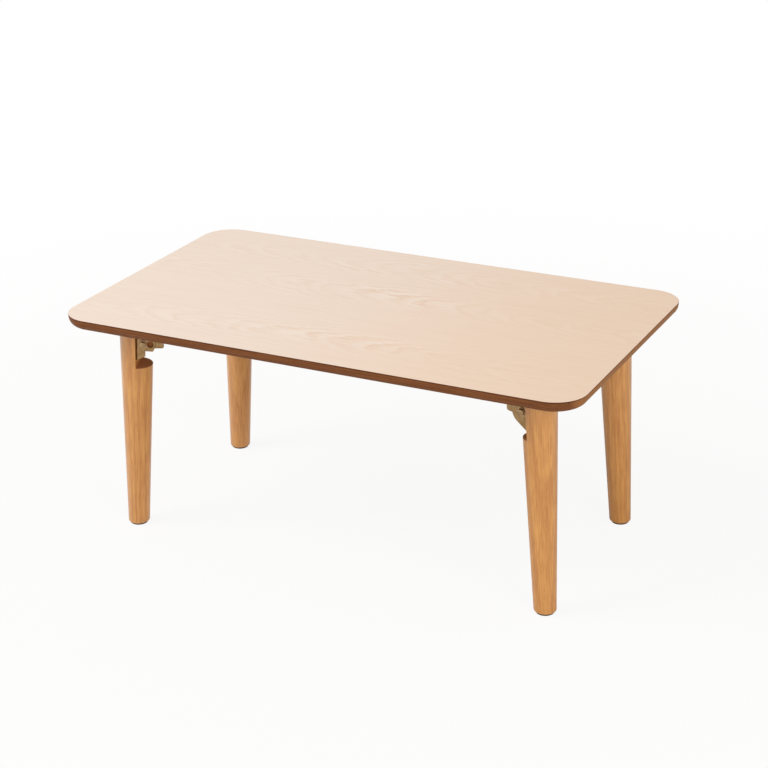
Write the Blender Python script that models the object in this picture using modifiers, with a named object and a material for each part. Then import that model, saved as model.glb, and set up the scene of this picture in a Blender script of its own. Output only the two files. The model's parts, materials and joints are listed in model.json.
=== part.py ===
"""Low folding floor table: a laminated top on four tapered legs with riveted folding brackets.

Metres, +Z up. The origin is on the floor under the middle of the top, and the length runs along X.
Each corner is built in its own hinge frame, with the pivot pin at the origin, +X pointing inboard
along the fold and +Z up. The leg bracket and its screws sit in a leg frame, which is the hinge frame
leaned over by the splay of the leg.
"""

import math

import bmesh
import bpy
from mathutils import Matrix, Vector

MM = 0.001

# Overall
TABLE_HEIGHT = 308 * MM
TOP_LENGTH = 700 * MM
TOP_DEPTH = 400 * MM

# Tabletop layers, from the face down
TOP_CORNER_RADIUS = 41 * MM
LAMINATE_THICKNESS = 1.0 * MM
LAMINATE_EASE = 0.4 * MM
CORE_THICKNESS = 12.8 * MM
CORE_EDGE_ROUND = 6 * MM
BACKING_THICKNESS = 0.6 * MM
BACKING_MARGIN = 1 * MM
GLUE_GAP = 0.3 * MM

# Legs
LEG_INSET_X = 72.4 * MM
LEG_INSET_Y = 73 * MM
LEG_HEAD_RADIUS = 22.4 * MM
LEG_FOOT_RADIUS = 14.2 * MM
LEG_FOOT_ROUND = 2.5 * MM
LEG_SPLAY = math.radians(3.5)
FOLD_HEADING = math.radians(22)
FLAT_FROM_AXIS = 2 * MM
LEDGE_BELOW_PIVOT = 34 * MM
FOOT_PAD_RADIUS = 11.5 * MM
FOOT_PAD_THICKNESS = 2 * MM
FOOT_PAD_ROUND = 0.6 * MM

# Hinge
PIVOT_DEPTH = 29.5 * MM
PIVOT_FROM_FLAT = 9.2 * MM
SHEET = 1.8 * MM
BEND_RADIUS = 2.4 * MM
EAR_HALF_WIDTH = 18.4 * MM
BOSS_RADIUS = 16.2 * MM
WEB_BELOW_PIVOT = 23 * MM
LOBE_BELOW_PIVOT = 9.6 * MM
STEP_FROM_PIVOT = 3.2 * MM
STEP_BELOW_PIVOT = 16.8 * MM
SKIRT_BELOW_PIVOT = 21.2 * MM
CATCH_HOLE_RADIUS = 4.4 * MM
CATCH_HOLE_FROM_PIVOT = 9.8 * MM
TABLE_EAR_REACH = 26.8 * MM
TABLE_EAR_HEEL = 4.5 * MM
TABLE_EAR_CORNER = 3 * MM
TONGUE_REACH = 46 * MM
TONGUE_CORNER = 6 * MM
TONGUE_LIP = 0.4 * MM

# Pivot pin and what it carries
PIN_RADIUS = 2.6 * MM
PIN_HEAD_RADIUS = 4.4 * MM
PIN_HEAD_HEIGHT = 2.2 * MM
BUSH_RADIUS = 4.6 * MM
WASHER_RADIUS = 5.6 * MM
WASHER_THICKNESS = 0.8 * MM

# Screws
SCREW_RADIUS = 1.8 * MM
SCREW_TIP = 2 * MM
SCREW_HEAD_RADIUS = 3.5 * MM
SCREW_HEAD_HEIGHT = 2.2 * MM
SCREW_HEAD_RIM = 1 * MM
SCREW_HEAD_CROWN_RADIUS = 2.2 * MM
BOARD_SCREW_BITE = 8.5 * MM
BOARD_SCREW_ROWS = (14 * MM, 38 * MM)
BOARD_SCREW_HALF_PITCH = 8 * MM
LEG_SCREW_BITE = 15 * MM
LEG_SCREW_HEIGHTS = (-15 * MM, 9.5 * MM)

# Clearances
SEAT_GAP = 0.3 * MM
HOLE_GAP = 0.3 * MM
EAR_GAP = 0.4 * MM
SWING_GAP = 0.5 * MM
DRILL_RUN_OUT = 0.5 * MM
CUT_MARGIN = 20 * MM

# Facets
CORNER_STEPS = 8
BEND_STEPS = 3
BOSS_STEPS = 12
LEG_STEPS = 36
PIN_STEPS = 16
DOME_STEPS = 3
PAD_STEPS = 24
SCREW_STEPS = 12
HOLE_STEPS = 12
CATCH_STEPS = 16
EDGE_SEGMENTS = 4
MERGE = 0.00001
SHARP_ANGLE = math.radians(35)

# Worked out from the sizes above
LAMINATE_BOTTOM = TABLE_HEIGHT - LAMINATE_THICKNESS
CORE_TOP = LAMINATE_BOTTOM - GLUE_GAP
CORE_BOTTOM = CORE_TOP - CORE_THICKNESS
BACKING_TOP = CORE_BOTTOM - GLUE_GAP
LEG_CLEARANCE = BACKING_TOP - BACKING_THICKNESS
LEG_SPREAD_X = TOP_LENGTH / 2 - LEG_INSET_X
LEG_SPREAD_Y = TOP_DEPTH / 2 - LEG_INSET_Y
PIVOT_HEIGHT = LEG_CLEARANCE - PIVOT_DEPTH
PIVOT_FROM_AXIS = FLAT_FROM_AXIS + PIVOT_FROM_FLAT
PIVOT_INBOARD = PIVOT_FROM_AXIS / math.cos(LEG_SPLAY) - PIVOT_DEPTH * math.tan(LEG_SPLAY)
WEB_OUTER_X = SEAT_GAP - PIVOT_FROM_FLAT
WEB_INNER_X = WEB_OUTER_X + SHEET
TABLE_EAR_SWING_RADIUS = -WEB_INNER_X - SWING_GAP
TABLE_EAR_HALF_WIDTH = EAR_HALF_WIDTH - SHEET - EAR_GAP
SKIRT_FROM_PIVOT = WEB_INNER_X + BEND_RADIUS
PLATE_TOP = PIVOT_DEPTH - SEAT_GAP
PLATE_BOTTOM = PLATE_TOP - SHEET
PIN_HOLE_RADIUS = PIN_RADIUS + HOLE_GAP
SCREW_HOLE_RADIUS = SCREW_RADIUS + HOLE_GAP
WASHER_Y = EAR_HALF_WIDTH + SEAT_GAP
PIN_HEAD_Y = WASHER_Y + WASHER_THICKNESS + SEAT_GAP
BUSH_HALF_LENGTH = TABLE_EAR_HALF_WIDTH - SHEET - SEAT_GAP
BOARD_SCREW_LENGTH = SEAT_GAP + SHEET + SEAT_GAP + BOARD_SCREW_BITE
LEG_SCREW_LENGTH = SEAT_GAP + SHEET + SEAT_GAP + LEG_SCREW_BITE

# Axes of a flat outline, (u, v) with its thickness along w
OUTLINE_IN_PLAN = Matrix.Identity(4)
OUTLINE_FROM_SIDE = Matrix(((1, 0, 0, 0), (0, 0, -1, 0), (0, 1, 0, 0), (0, 0, 0, 1)))
SECTION_ALONG_X = Matrix(((0, 0, 1, 0), (1, 0, 0, 0), (0, 1, 0, 0), (0, 0, 0, 1)))
SECTION_ALONG_Z = Matrix(((0, -1, 0, 0), (1, 0, 0, 0), (0, 0, 1, 0), (0, 0, 0, 1)))
TURNED_ALONG_Y = Matrix.Rotation(math.radians(90), 4, "X")
TURNED_ALONG_X = Matrix.Rotation(math.radians(-90), 4, "Y")

CORNERS = {
    "front_left": (-1, -1),
    "front_right": (1, -1),
    "back_left": (-1, 1),
    "back_right": (1, 1),
}


def clear_scene():
    """Empty the scene and give the parts and the cutters a collection each."""
    for obj in list(bpy.data.objects):
        bpy.data.objects.remove(obj)
    made = []
    for name in ("low_floor_table", "cutters"):
        collection = bpy.data.collections.new(name)
        bpy.context.scene.collection.children.link(collection)
        made.append(collection)
    return made


def linear(channel):
    """One 0 to 255 screen channel as linear light."""
    share = channel / 255
    if share <= 0.04045:
        return share / 12.92
    return ((share + 0.055) / 1.055) ** 2.4


def finish(name, screen_colour, roughness, metallic=0.0):
    """A plain Principled material."""
    material = bpy.data.materials.new(name)
    material.use_nodes = True
    shader = material.node_tree.nodes["Principled BSDF"]
    shader.inputs["Base Color"].default_value = (*map(linear, screen_colour), 1)
    shader.inputs["Roughness"].default_value = roughness
    shader.inputs["Metallic"].default_value = metallic
    return material


def arc(centre, radius, start, stop, steps):
    """Points along an arc, both ends included, with angles in radians."""
    return [
        (
            centre[0] + radius * math.cos(start + (stop - start) * i / steps),
            centre[1] + radius * math.sin(start + (stop - start) * i / steps),
        )
        for i in range(steps + 1)
    ]


def rounded_rectangle(left, right, bottom, top, radius, steps):
    """A rectangle with four equal round corners, anticlockwise."""
    quarter = math.pi / 2
    centres = (
        (right - radius, bottom + radius),
        (right - radius, top - radius),
        (left + radius, top - radius),
        (left + radius, bottom + radius),
    )
    points = []
    for i, centre in enumerate(centres):
        points += arc(centre, radius, (i - 1) * quarter, i * quarter, steps)
    return points


def channel_section(half_width, depth):
    """A pressed channel seen on its end: base on v = 0, both flanges reaching down to -depth."""
    quarter = math.pi / 2
    bend = half_width - BEND_RADIUS
    inner = BEND_RADIUS - SHEET
    points = [(-half_width, -depth)]
    points += arc((-bend, -BEND_RADIUS), BEND_RADIUS, 2 * quarter, quarter, BEND_STEPS)
    points += arc((bend, -BEND_RADIUS), BEND_RADIUS, quarter, 0, BEND_STEPS)
    points += [(half_width, -depth), (half_width - SHEET, -depth)]
    points += arc((bend, -BEND_RADIUS), inner, 0, quarter, BEND_STEPS)
    points += arc((-bend, -BEND_RADIUS), inner, quarter, 2 * quarter, BEND_STEPS)
    points += [(SHEET - half_width, -depth)]
    return points


def outline_mesh(name, points, low, high, axes=OUTLINE_IN_PLAN):
    """A flat outline given a thickness from low to high, as a closed mesh."""
    curve = bpy.data.curves.new(name, "CURVE")
    curve.dimensions = "2D"
    curve.fill_mode = "BOTH"
    curve.extrude = (high - low) / 2
    spline = curve.splines.new("POLY")
    spline.points.add(len(points) - 1)
    for point, (u, v) in zip(spline.points, points):
        point.co = (u, v, 0, 1)
    spline.use_cyclic_u = True
    helper = bpy.data.objects.new(name, curve)
    bpy.context.scene.collection.objects.link(helper)
    mesh = baked(helper)
    bpy.data.curves.remove(curve)
    form = bmesh.new()
    form.from_mesh(mesh)
    bmesh.ops.remove_doubles(form, verts=form.verts, dist=MERGE)
    bmesh.ops.dissolve_limit(form, angle_limit=math.radians(1), verts=form.verts, edges=form.edges)
    bmesh.ops.recalc_face_normals(form, faces=form.faces)
    form.to_mesh(mesh)
    form.free()
    mesh.transform(axes @ Matrix.Translation((0, 0, (low + high) / 2)))
    return mesh


def turned_mesh(name, profile, steps):
    """A profile of (radius, height) points, listed downwards, turned about Z."""
    mesh = bpy.data.meshes.new(name)
    edges = [(i, i + 1) for i in range(len(profile) - 1)]
    mesh.from_pydata([(radius, 0, height) for radius, height in profile], edges, [])
    helper = bpy.data.objects.new(name, mesh)
    bpy.context.scene.collection.objects.link(helper)
    screw = helper.modifiers.new("turn", "SCREW")
    screw.steps = steps
    screw.render_steps = steps
    screw.use_merge_vertices = True
    screw.merge_threshold = MERGE
    return baked(helper)


def drill_mesh(name, holes, radius, steps=HOLE_STEPS):
    """Round cutters in one mesh, each from its start to its end point."""
    form = bmesh.new()
    for start, end in holes:
        run = Vector(end) - Vector(start)
        turn = run.to_track_quat("Z", "Y").to_matrix().to_4x4()
        place = Matrix.Translation((Vector(start) + Vector(end)) / 2) @ turn
        bmesh.ops.create_cone(
            form,
            cap_ends=True,
            segments=steps,
            radius1=radius,
            radius2=radius,
            depth=run.length,
            matrix=place,
        )
    mesh = bpy.data.meshes.new(name)
    form.to_mesh(mesh)
    form.free()
    return mesh


def box_mesh(name, low, high):
    """A block between two corners."""
    low, high = Vector(low), Vector(high)
    form = bmesh.new()
    place = Matrix.Translation((low + high) / 2) @ Matrix.Diagonal((*(high - low), 1))
    bmesh.ops.create_cube(form, size=1, matrix=place)
    mesh = bpy.data.meshes.new(name)
    form.to_mesh(mesh)
    form.free()
    return mesh


def baked(obj):
    """The mesh that the object's modifiers make. The object itself is removed."""
    bpy.context.view_layer.update()
    graph = bpy.context.evaluated_depsgraph_get()
    mesh = bpy.data.meshes.new_from_object(obj.evaluated_get(graph))
    bpy.data.objects.remove(obj)
    return mesh


def cutter(mesh, cutters, turn=0.0):
    """A hidden object that others are cut by, leaned about Y by the given angle."""
    obj = bpy.data.objects.new(mesh.name, mesh)
    obj.rotation_euler = (0, turn, 0)
    obj.hide_render = True
    obj.display_type = "WIRE"
    cutters.objects.link(obj)
    return obj


def carve(obj, operation, tool):
    """Add one Boolean to an object."""
    boolean = obj.modifiers.new(tool.name, "BOOLEAN")
    boolean.operation = operation
    boolean.solver = "EXACT"
    boolean.object = tool


def carved_mesh(mesh, steps):
    """The mesh after a row of (operation, cutter) steps."""
    obj = bpy.data.objects.new(mesh.name, mesh)
    bpy.context.scene.collection.objects.link(obj)
    for operation, tool in steps:
        carve(obj, operation, tool)
    return baked(obj)


def place(name, mesh, material, parts, parent=None, location=(0, 0, 0), turn=0.0):
    """Put one finished part in the assembly."""
    obj = bpy.data.objects.new(name, mesh)
    mesh.shade_smooth()
    mesh.set_sharp_from_angle(angle=SHARP_ANGLE)
    mesh.materials.clear()
    mesh.materials.append(material)
    obj.parent = parent
    obj.location = location
    obj.rotation_euler = (0, turn, 0)
    parts.objects.link(obj)
    return obj


def empty(name, parts, location, heading=0.0, lean=0.0, parent=None):
    """A frame to hang parts on."""
    obj = bpy.data.objects.new(name, None)
    obj.location = location
    obj.rotation_euler = (0, lean, heading)
    obj.parent = parent
    obj.empty_display_size = BOSS_RADIUS
    parts.objects.link(obj)
    return obj


def fold_direction(corner):
    """The level unit vector that a corner's leg folds along, from its pivot inboard."""
    side_x, side_y = CORNERS[corner]
    return Vector((-side_x * math.cos(FOLD_HEADING), -side_y * math.sin(FOLD_HEADING), 0))


def pivot_point(corner):
    """The middle of a corner's pivot pin."""
    side_x, side_y = CORNERS[corner]
    head = Vector((side_x * LEG_SPREAD_X, side_y * LEG_SPREAD_Y, PIVOT_HEIGHT))
    return head + fold_direction(corner) * PIVOT_INBOARD


def board_screw_places():
    """Where the four screws of a table bracket stand in the hinge frame."""
    return [(x, side * BOARD_SCREW_HALF_PITCH) for x in BOARD_SCREW_ROWS for side in (-1, 1)]


def top_outline(inset=0.0):
    """The tabletop seen from above, drawn in by inset."""
    half_length = TOP_LENGTH / 2 - inset
    half_depth = TOP_DEPTH / 2 - inset
    radius = TOP_CORNER_RADIUS - inset
    return rounded_rectangle(-half_length, half_length, -half_depth, half_depth, radius, CORNER_STEPS)


def round_rim(obj, height, width, segments):
    """Round the rim of a sheet at one height."""
    group = obj.vertex_groups.new(name="rim")
    group.add([v.index for v in obj.data.vertices if abs(v.co.z - height) < MERGE], 1, "REPLACE")
    bevel = obj.modifiers.new("round_rim", "BEVEL")
    bevel.limit_method = "VGROUP"
    bevel.vertex_group = group.name
    bevel.width = width
    bevel.segments = segments


def board_drill(cutters):
    """One cutter for every board screw hole, through the backing and into the core."""
    holes = []
    for corner in CORNERS:
        along = fold_direction(corner)
        across = Vector((-along.y, along.x, 0))
        for x, y in board_screw_places():
            foot = pivot_point(corner) + along * x + across * y
            foot.z = LEG_CLEARANCE - CUT_MARGIN
            tip = foot.copy()
            tip.z = LEG_CLEARANCE + BOARD_SCREW_BITE + DRILL_RUN_OUT
            holes.append((foot, tip))
    return cutter(drill_mesh("board_screw_holes", holes, SCREW_HOLE_RADIUS), cutters)


def build_top(parts, cutters):
    """Core board, face laminate and backing sheet."""
    drill = board_drill(cutters)
    brown = finish("brown_edge_lacquer", (125, 78, 49), 0.42)
    grain = finish("pale_wood_laminate", (237, 216, 197), 0.38)
    paper = finish("backing_paper", (150, 118, 88), 0.7)

    core_mesh = outline_mesh("core", top_outline(), CORE_BOTTOM, CORE_TOP)
    core = place("tabletop_core", core_mesh, brown, parts)
    round_rim(core, CORE_BOTTOM, CORE_EDGE_ROUND, EDGE_SEGMENTS)
    carve(core, "DIFFERENCE", drill)

    face_mesh = outline_mesh("face", top_outline(), LAMINATE_BOTTOM, TABLE_HEIGHT)
    face = place("tabletop_laminate", face_mesh, grain, parts)
    round_rim(face, TABLE_HEIGHT, LAMINATE_EASE, 1)

    inset = CORE_EDGE_ROUND + BACKING_MARGIN
    backing_mesh = outline_mesh("backing", top_outline(inset), LEG_CLEARANCE, BACKING_TOP)
    backing = place("tabletop_backing", backing_mesh, paper, parts)
    carve(backing, "DIFFERENCE", drill)


def table_bracket_mesh(cutters):
    """Pressed channel under the top: two ears that take the pin, and a tongue for screws."""
    swing = TABLE_EAR_SWING_RADIUS
    heel_angle = math.pi - math.acos(TABLE_EAR_HEEL / swing)
    corner = (TABLE_EAR_REACH - TABLE_EAR_CORNER, TABLE_EAR_CORNER - swing)
    tongue_edge = PLATE_BOTTOM - TONGUE_LIP
    above = PLATE_TOP + CUT_MARGIN
    side = [(-TABLE_EAR_HEEL, above)]
    side += arc((0, 0), swing, heel_angle, 1.5 * math.pi, BOSS_STEPS)
    side += arc(corner, TABLE_EAR_CORNER, -0.5 * math.pi, 0, BEND_STEPS)
    side += [(TABLE_EAR_REACH, tongue_edge)]
    side += [(TONGUE_REACH + CUT_MARGIN, tongue_edge), (TONGUE_REACH + CUT_MARGIN, above)]

    half = TABLE_EAR_HALF_WIDTH
    bend_x = TONGUE_REACH - TONGUE_CORNER
    bend_y = half - TONGUE_CORNER
    plan = [(-CUT_MARGIN, -half - CUT_MARGIN), (bend_x, -half - CUT_MARGIN)]
    plan += arc((bend_x, -bend_y), TONGUE_CORNER, -0.5 * math.pi, 0, BEND_STEPS)
    plan += arc((bend_x, bend_y), TONGUE_CORNER, 0, 0.5 * math.pi, BEND_STEPS)
    plan += [(bend_x, half + CUT_MARGIN), (-CUT_MARGIN, half + CUT_MARGIN)]

    reach = half + CUT_MARGIN
    low = -swing - CUT_MARGIN
    side_tool = outline_mesh("table_bracket_side", side, -reach, reach, OUTLINE_FROM_SIDE)
    plan_tool = outline_mesh("table_bracket_plan", plan, low, above)
    pin_run = [((0, -reach, 0), (0, reach, 0))]
    pin_tool = drill_mesh("table_bracket_pin_hole", pin_run, PIN_HOLE_RADIUS, PIN_STEPS)
    screw_runs = [((x, y, PLATE_BOTTOM - SHEET), (x, y, above)) for x, y in board_screw_places()]
    screw_tool = drill_mesh("table_bracket_screw_holes", screw_runs, SCREW_HOLE_RADIUS)

    section = channel_section(half, PLATE_TOP + swing + CUT_MARGIN)
    axes = Matrix.Translation((0, 0, PLATE_TOP)) @ SECTION_ALONG_X
    blank = outline_mesh("table_bracket", section, -CUT_MARGIN / 2, TONGUE_REACH + CUT_MARGIN / 2, axes)
    return carved_mesh(
        blank,
        [
            ("INTERSECT", cutter(side_tool, cutters)),
            ("INTERSECT", cutter(plan_tool, cutters)),
            ("DIFFERENCE", cutter(pin_tool, cutters)),
            ("DIFFERENCE", cutter(screw_tool, cutters)),
        ],
    )


def leg_bracket_mesh(cutters):
    """Pressed channel on the leg's flat: a web for screws, a plain round ear and a stepped catch ear."""
    toe = Vector((WEB_INNER_X, -WEB_BELOW_PIVOT))
    tangent_angle = math.atan2(toe.y, toe.x) + math.acos(BOSS_RADIUS / toe.length)
    behind = WEB_OUTER_X - CUT_MARGIN
    side = [(behind, -WEB_BELOW_PIVOT), tuple(toe)]
    side += arc((0, 0), BOSS_RADIUS, tangent_angle, 0.5 * math.pi, BOSS_STEPS)
    side += [(behind, BOSS_RADIUS)]

    beyond = BOSS_RADIUS + CUT_MARGIN
    below = -WEB_BELOW_PIVOT - CUT_MARGIN
    step = [
        (STEP_FROM_PIVOT, -LOBE_BELOW_PIVOT),
        (STEP_FROM_PIVOT, -STEP_BELOW_PIVOT),
        (SKIRT_FROM_PIVOT, -SKIRT_BELOW_PIVOT),
        (SKIRT_FROM_PIVOT, below),
        (beyond, below),
        (beyond, -LOBE_BELOW_PIVOT),
    ]

    reach = EAR_HALF_WIDTH + CUT_MARGIN
    side_tool = outline_mesh("leg_bracket_side", side, -reach, reach, OUTLINE_FROM_SIDE)
    catch_side = EAR_HALF_WIDTH - SHEET - DRILL_RUN_OUT
    step_tool = outline_mesh("leg_bracket_step", step, catch_side, reach, OUTLINE_FROM_SIDE)
    pin_run = [((0, -reach, 0), (0, reach, 0))]
    pin_tool = drill_mesh("leg_bracket_pin_hole", pin_run, PIN_HOLE_RADIUS, PIN_STEPS)
    catch_run = [((CATCH_HOLE_FROM_PIVOT, -reach, 0), (CATCH_HOLE_FROM_PIVOT, -catch_side, 0))]
    catch_tool = drill_mesh("leg_bracket_catch_hole", catch_run, CATCH_HOLE_RADIUS, CATCH_STEPS)
    screw_runs = [((WEB_OUTER_X - SHEET, 0, z), (WEB_INNER_X + SHEET, 0, z)) for z in LEG_SCREW_HEIGHTS]
    screw_tool = drill_mesh("leg_bracket_screw_holes", screw_runs, SCREW_HOLE_RADIUS)

    section = channel_section(EAR_HALF_WIDTH, BOSS_RADIUS - WEB_OUTER_X + CUT_MARGIN)
    axes = Matrix.Translation((WEB_OUTER_X, 0, 0)) @ SECTION_ALONG_Z
    low, high = -WEB_BELOW_PIVOT - CUT_MARGIN / 2, BOSS_RADIUS + CUT_MARGIN / 2
    blank = outline_mesh("leg_bracket", section, low, high, axes)
    return carved_mesh(
        blank,
        [
            ("INTERSECT", cutter(side_tool, cutters)),
            ("DIFFERENCE", cutter(step_tool, cutters)),
            ("DIFFERENCE", cutter(catch_tool, cutters)),
            ("DIFFERENCE", cutter(pin_tool, cutters)),
            ("DIFFERENCE", cutter(screw_tool, cutters)),
        ],
    )


def leg_mesh(cutters):
    """Tapered leg, leaned by a shear so that its ends stay level, with its flat and screw holes."""
    foot = FOOT_PAD_THICKNESS + SEAT_GAP - LEG_CLEARANCE
    corner = (LEG_FOOT_RADIUS - LEG_FOOT_ROUND, foot + LEG_FOOT_ROUND)
    profile = [(0, -SEAT_GAP), (LEG_HEAD_RADIUS, -SEAT_GAP)]
    profile += arc(corner, LEG_FOOT_ROUND, 0, -0.5 * math.pi, BEND_STEPS)
    profile += [(0, foot)]
    mesh = turned_mesh("leg", profile, LEG_STEPS)
    lean = Matrix.Identity(4)
    lean[0][2] = math.tan(LEG_SPLAY)
    mesh.transform(Matrix.Translation((-PIVOT_INBOARD, 0, PIVOT_DEPTH)) @ lean)

    reach = LEG_HEAD_RADIUS + CUT_MARGIN
    ledge_corner = (-PIVOT_FROM_FLAT, -reach, -LEDGE_BELOW_PIVOT)
    flat_tool = box_mesh("leg_flat", ledge_corner, (reach, reach, PIVOT_DEPTH + CUT_MARGIN))
    tip_x = -PIVOT_FROM_FLAT - LEG_SCREW_BITE - DRILL_RUN_OUT
    screw_runs = [((tip_x, 0, z), (WEB_INNER_X, 0, z)) for z in LEG_SCREW_HEIGHTS]
    screw_tool = drill_mesh("leg_screw_holes", screw_runs, SCREW_HOLE_RADIUS)
    return carved_mesh(
        mesh,
        [
            ("DIFFERENCE", cutter(flat_tool, cutters, LEG_SPLAY)),
            ("DIFFERENCE", cutter(screw_tool, cutters, LEG_SPLAY)),
        ],
    )


def foot_pad_mesh():
    """Round pad with a softened lower edge, its upper face at height 0."""
    corner = (FOOT_PAD_RADIUS - FOOT_PAD_ROUND, FOOT_PAD_ROUND - FOOT_PAD_THICKNESS)
    profile = [(0, 0), (FOOT_PAD_RADIUS, 0)]
    profile += arc(corner, FOOT_PAD_ROUND, 0, -0.5 * math.pi, 2)
    profile += [(0, -FOOT_PAD_THICKNESS)]
    return turned_mesh("foot_pad", profile, PAD_STEPS)


def pivot_pin_mesh():
    """Straight pin with a domed head at each end, along Y."""
    dome = [
        (PIN_HEAD_RADIUS * math.sin(angle), PIN_HEAD_Y + PIN_HEAD_HEIGHT * math.cos(angle))
        for angle in (math.radians(90 * i / DOME_STEPS) for i in range(DOME_STEPS + 1))
    ]
    half = dome + [(PIN_RADIUS, PIN_HEAD_Y)]
    profile = half + [(radius, -height) for radius, height in reversed(half)]
    mesh = turned_mesh("pivot_pin", profile, PIN_STEPS)
    mesh.transform(TURNED_ALONG_Y)
    return mesh


def ring_mesh(name, outer, inner, half_length):
    """A plain ring about Y, such as a bush or a washer."""
    profile = [(inner, half_length), (outer, half_length), (outer, -half_length), (inner, -half_length)]
    mesh = turned_mesh(name, profile + profile[:1], PIN_STEPS)
    mesh.transform(TURNED_ALONG_Y)
    return mesh


def screw_mesh(name, length):
    """Pan head screw that points up, with its head's bearing face at height 0."""
    profile = [
        (0, length),
        (SCREW_RADIUS, length - SCREW_TIP),
        (SCREW_RADIUS, 0),
        (SCREW_HEAD_RADIUS, 0),
        (SCREW_HEAD_RADIUS, -SCREW_HEAD_RIM),
        (SCREW_HEAD_CROWN_RADIUS, -SCREW_HEAD_HEIGHT),
        (0, -SCREW_HEAD_HEIGHT),
    ]
    return turned_mesh(name, profile, SCREW_STEPS)


def build_corners(parts, cutters):
    """The four legs with their hinges, which share their meshes."""
    wood = finish("leg_wood", (192, 135, 84), 0.45)
    zinc = finish("bracket_steel", (166, 138, 100), 0.35, 0.9)
    rivet = finish("rivet_steel", (190, 157, 130), 0.3, 0.9)
    screw_steel = finish("screw_steel", (180, 165, 140), 0.3, 0.9)
    felt = finish("foot_felt", (92, 78, 52), 0.9)

    leg = leg_mesh(cutters)
    table_bracket = table_bracket_mesh(cutters)
    leg_bracket = leg_bracket_mesh(cutters)
    pin = pivot_pin_mesh()
    bush = ring_mesh("spacer_bush", BUSH_RADIUS, PIN_HOLE_RADIUS, BUSH_HALF_LENGTH)
    washer = ring_mesh("friction_washer", WASHER_RADIUS, PIN_HOLE_RADIUS, WASHER_THICKNESS / 2)
    pad = foot_pad_mesh()
    board_screw = screw_mesh("board_screw", BOARD_SCREW_LENGTH)
    leg_screw = screw_mesh("leg_screw", LEG_SCREW_LENGTH)
    leg_screw.transform(TURNED_ALONG_X)

    foot_x = -PIVOT_INBOARD - (LEG_CLEARANCE - FOOT_PAD_THICKNESS) * math.tan(LEG_SPLAY)
    foot_z = FOOT_PAD_THICKNESS - PIVOT_HEIGHT
    washer_y = WASHER_Y + WASHER_THICKNESS / 2
    for corner in CORNERS:
        along = fold_direction(corner)
        hinge = empty(f"hinge_{corner}", parts, pivot_point(corner), math.atan2(along.y, along.x))
        leg_frame = empty(f"leg_frame_{corner}", parts, (0, 0, 0), lean=LEG_SPLAY, parent=hinge)

        place(f"table_bracket_{corner}", table_bracket, zinc, parts, hinge)
        place(f"pivot_pin_{corner}", pin, rivet, parts, hinge)
        place(f"spacer_bush_{corner}", bush, rivet, parts, hinge)
        for side, sign in (("a", -1), ("b", 1)):
            place(f"friction_washer_{side}_{corner}", washer, rivet, parts, hinge, (0, sign * washer_y, 0))
        for number, (x, y) in enumerate(board_screw_places(), 1):
            bearing = (x, y, PLATE_BOTTOM - SEAT_GAP)
            place(f"board_screw_{number}_{corner}", board_screw, screw_steel, parts, hinge, bearing)

        place(f"leg_{corner}", leg, wood, parts, hinge)
        place(f"foot_pad_{corner}", pad, felt, parts, hinge, (foot_x, 0, foot_z))
        place(f"leg_bracket_{corner}", leg_bracket, zinc, parts, leg_frame)
        for number, z in enumerate(LEG_SCREW_HEIGHTS, 1):
            bearing = (WEB_INNER_X + SEAT_GAP, 0, z)
            place(f"leg_screw_{number}_{corner}", leg_screw, screw_steel, parts, leg_frame, bearing)


def main():
    parts, cutters = clear_scene()
    build_top(parts, cutters)
    build_corners(parts, cutters)


main()
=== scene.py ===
"""Looks of a low folding floor table: a pale laminated top on four tapered wooden legs.

Metres, +Z up. Each corner is worked out in its own hinge frame, with the pivot pin at the origin, +X
pointing inboard along the fold and +Z up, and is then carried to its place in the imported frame.
"""

import json
import logging
import math
from dataclasses import dataclass, field
from enum import Enum
from typing import Callable, Union

import bmesh
import bpy
import numpy as np
from mathutils import Matrix, Vector
from mathutils.geometry import tessellate_polygon


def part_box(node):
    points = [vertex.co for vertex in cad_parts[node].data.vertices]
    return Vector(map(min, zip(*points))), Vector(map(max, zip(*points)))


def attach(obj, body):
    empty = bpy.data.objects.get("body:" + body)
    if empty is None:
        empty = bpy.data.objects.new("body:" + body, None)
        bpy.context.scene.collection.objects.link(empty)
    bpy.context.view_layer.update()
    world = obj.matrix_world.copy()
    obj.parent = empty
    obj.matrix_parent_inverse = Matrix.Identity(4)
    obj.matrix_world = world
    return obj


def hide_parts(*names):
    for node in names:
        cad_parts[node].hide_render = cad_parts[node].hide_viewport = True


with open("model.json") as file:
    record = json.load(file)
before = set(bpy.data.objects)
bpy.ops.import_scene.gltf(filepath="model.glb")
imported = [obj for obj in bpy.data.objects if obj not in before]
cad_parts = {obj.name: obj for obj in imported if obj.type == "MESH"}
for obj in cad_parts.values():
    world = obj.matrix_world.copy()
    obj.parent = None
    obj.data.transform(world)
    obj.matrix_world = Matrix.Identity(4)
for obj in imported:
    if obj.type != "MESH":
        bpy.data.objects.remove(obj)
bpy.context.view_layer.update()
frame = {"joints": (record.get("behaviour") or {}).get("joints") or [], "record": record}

LOG = logging.getLogger("low_floor_table")
MM = 0.001
WELD = 0.001 * MM
QUARTER = math.pi / 2
FULL_TURN = 2 * math.pi
SHARP_ANGLE = math.radians(30)
EASED_ANGLE = math.radians(40)
EASED_SEGMENTS = 2
WHITE = (1.0, 1.0, 1.0, 1.0)
ORIGIN = (0.0, 0.0, 0.0)
BODY_OF = {
    node: body for body, nodes in frame["record"]["behaviour"]["bodies"].items() for node in nodes
}
Finishes = dict[Enum, bpy.types.Material]
Socket = bpy.types.NodeSocket
Sockets = bpy.types.bpy_prop_collection
Feed = Union[Socket, float, tuple, "Tint"]


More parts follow.
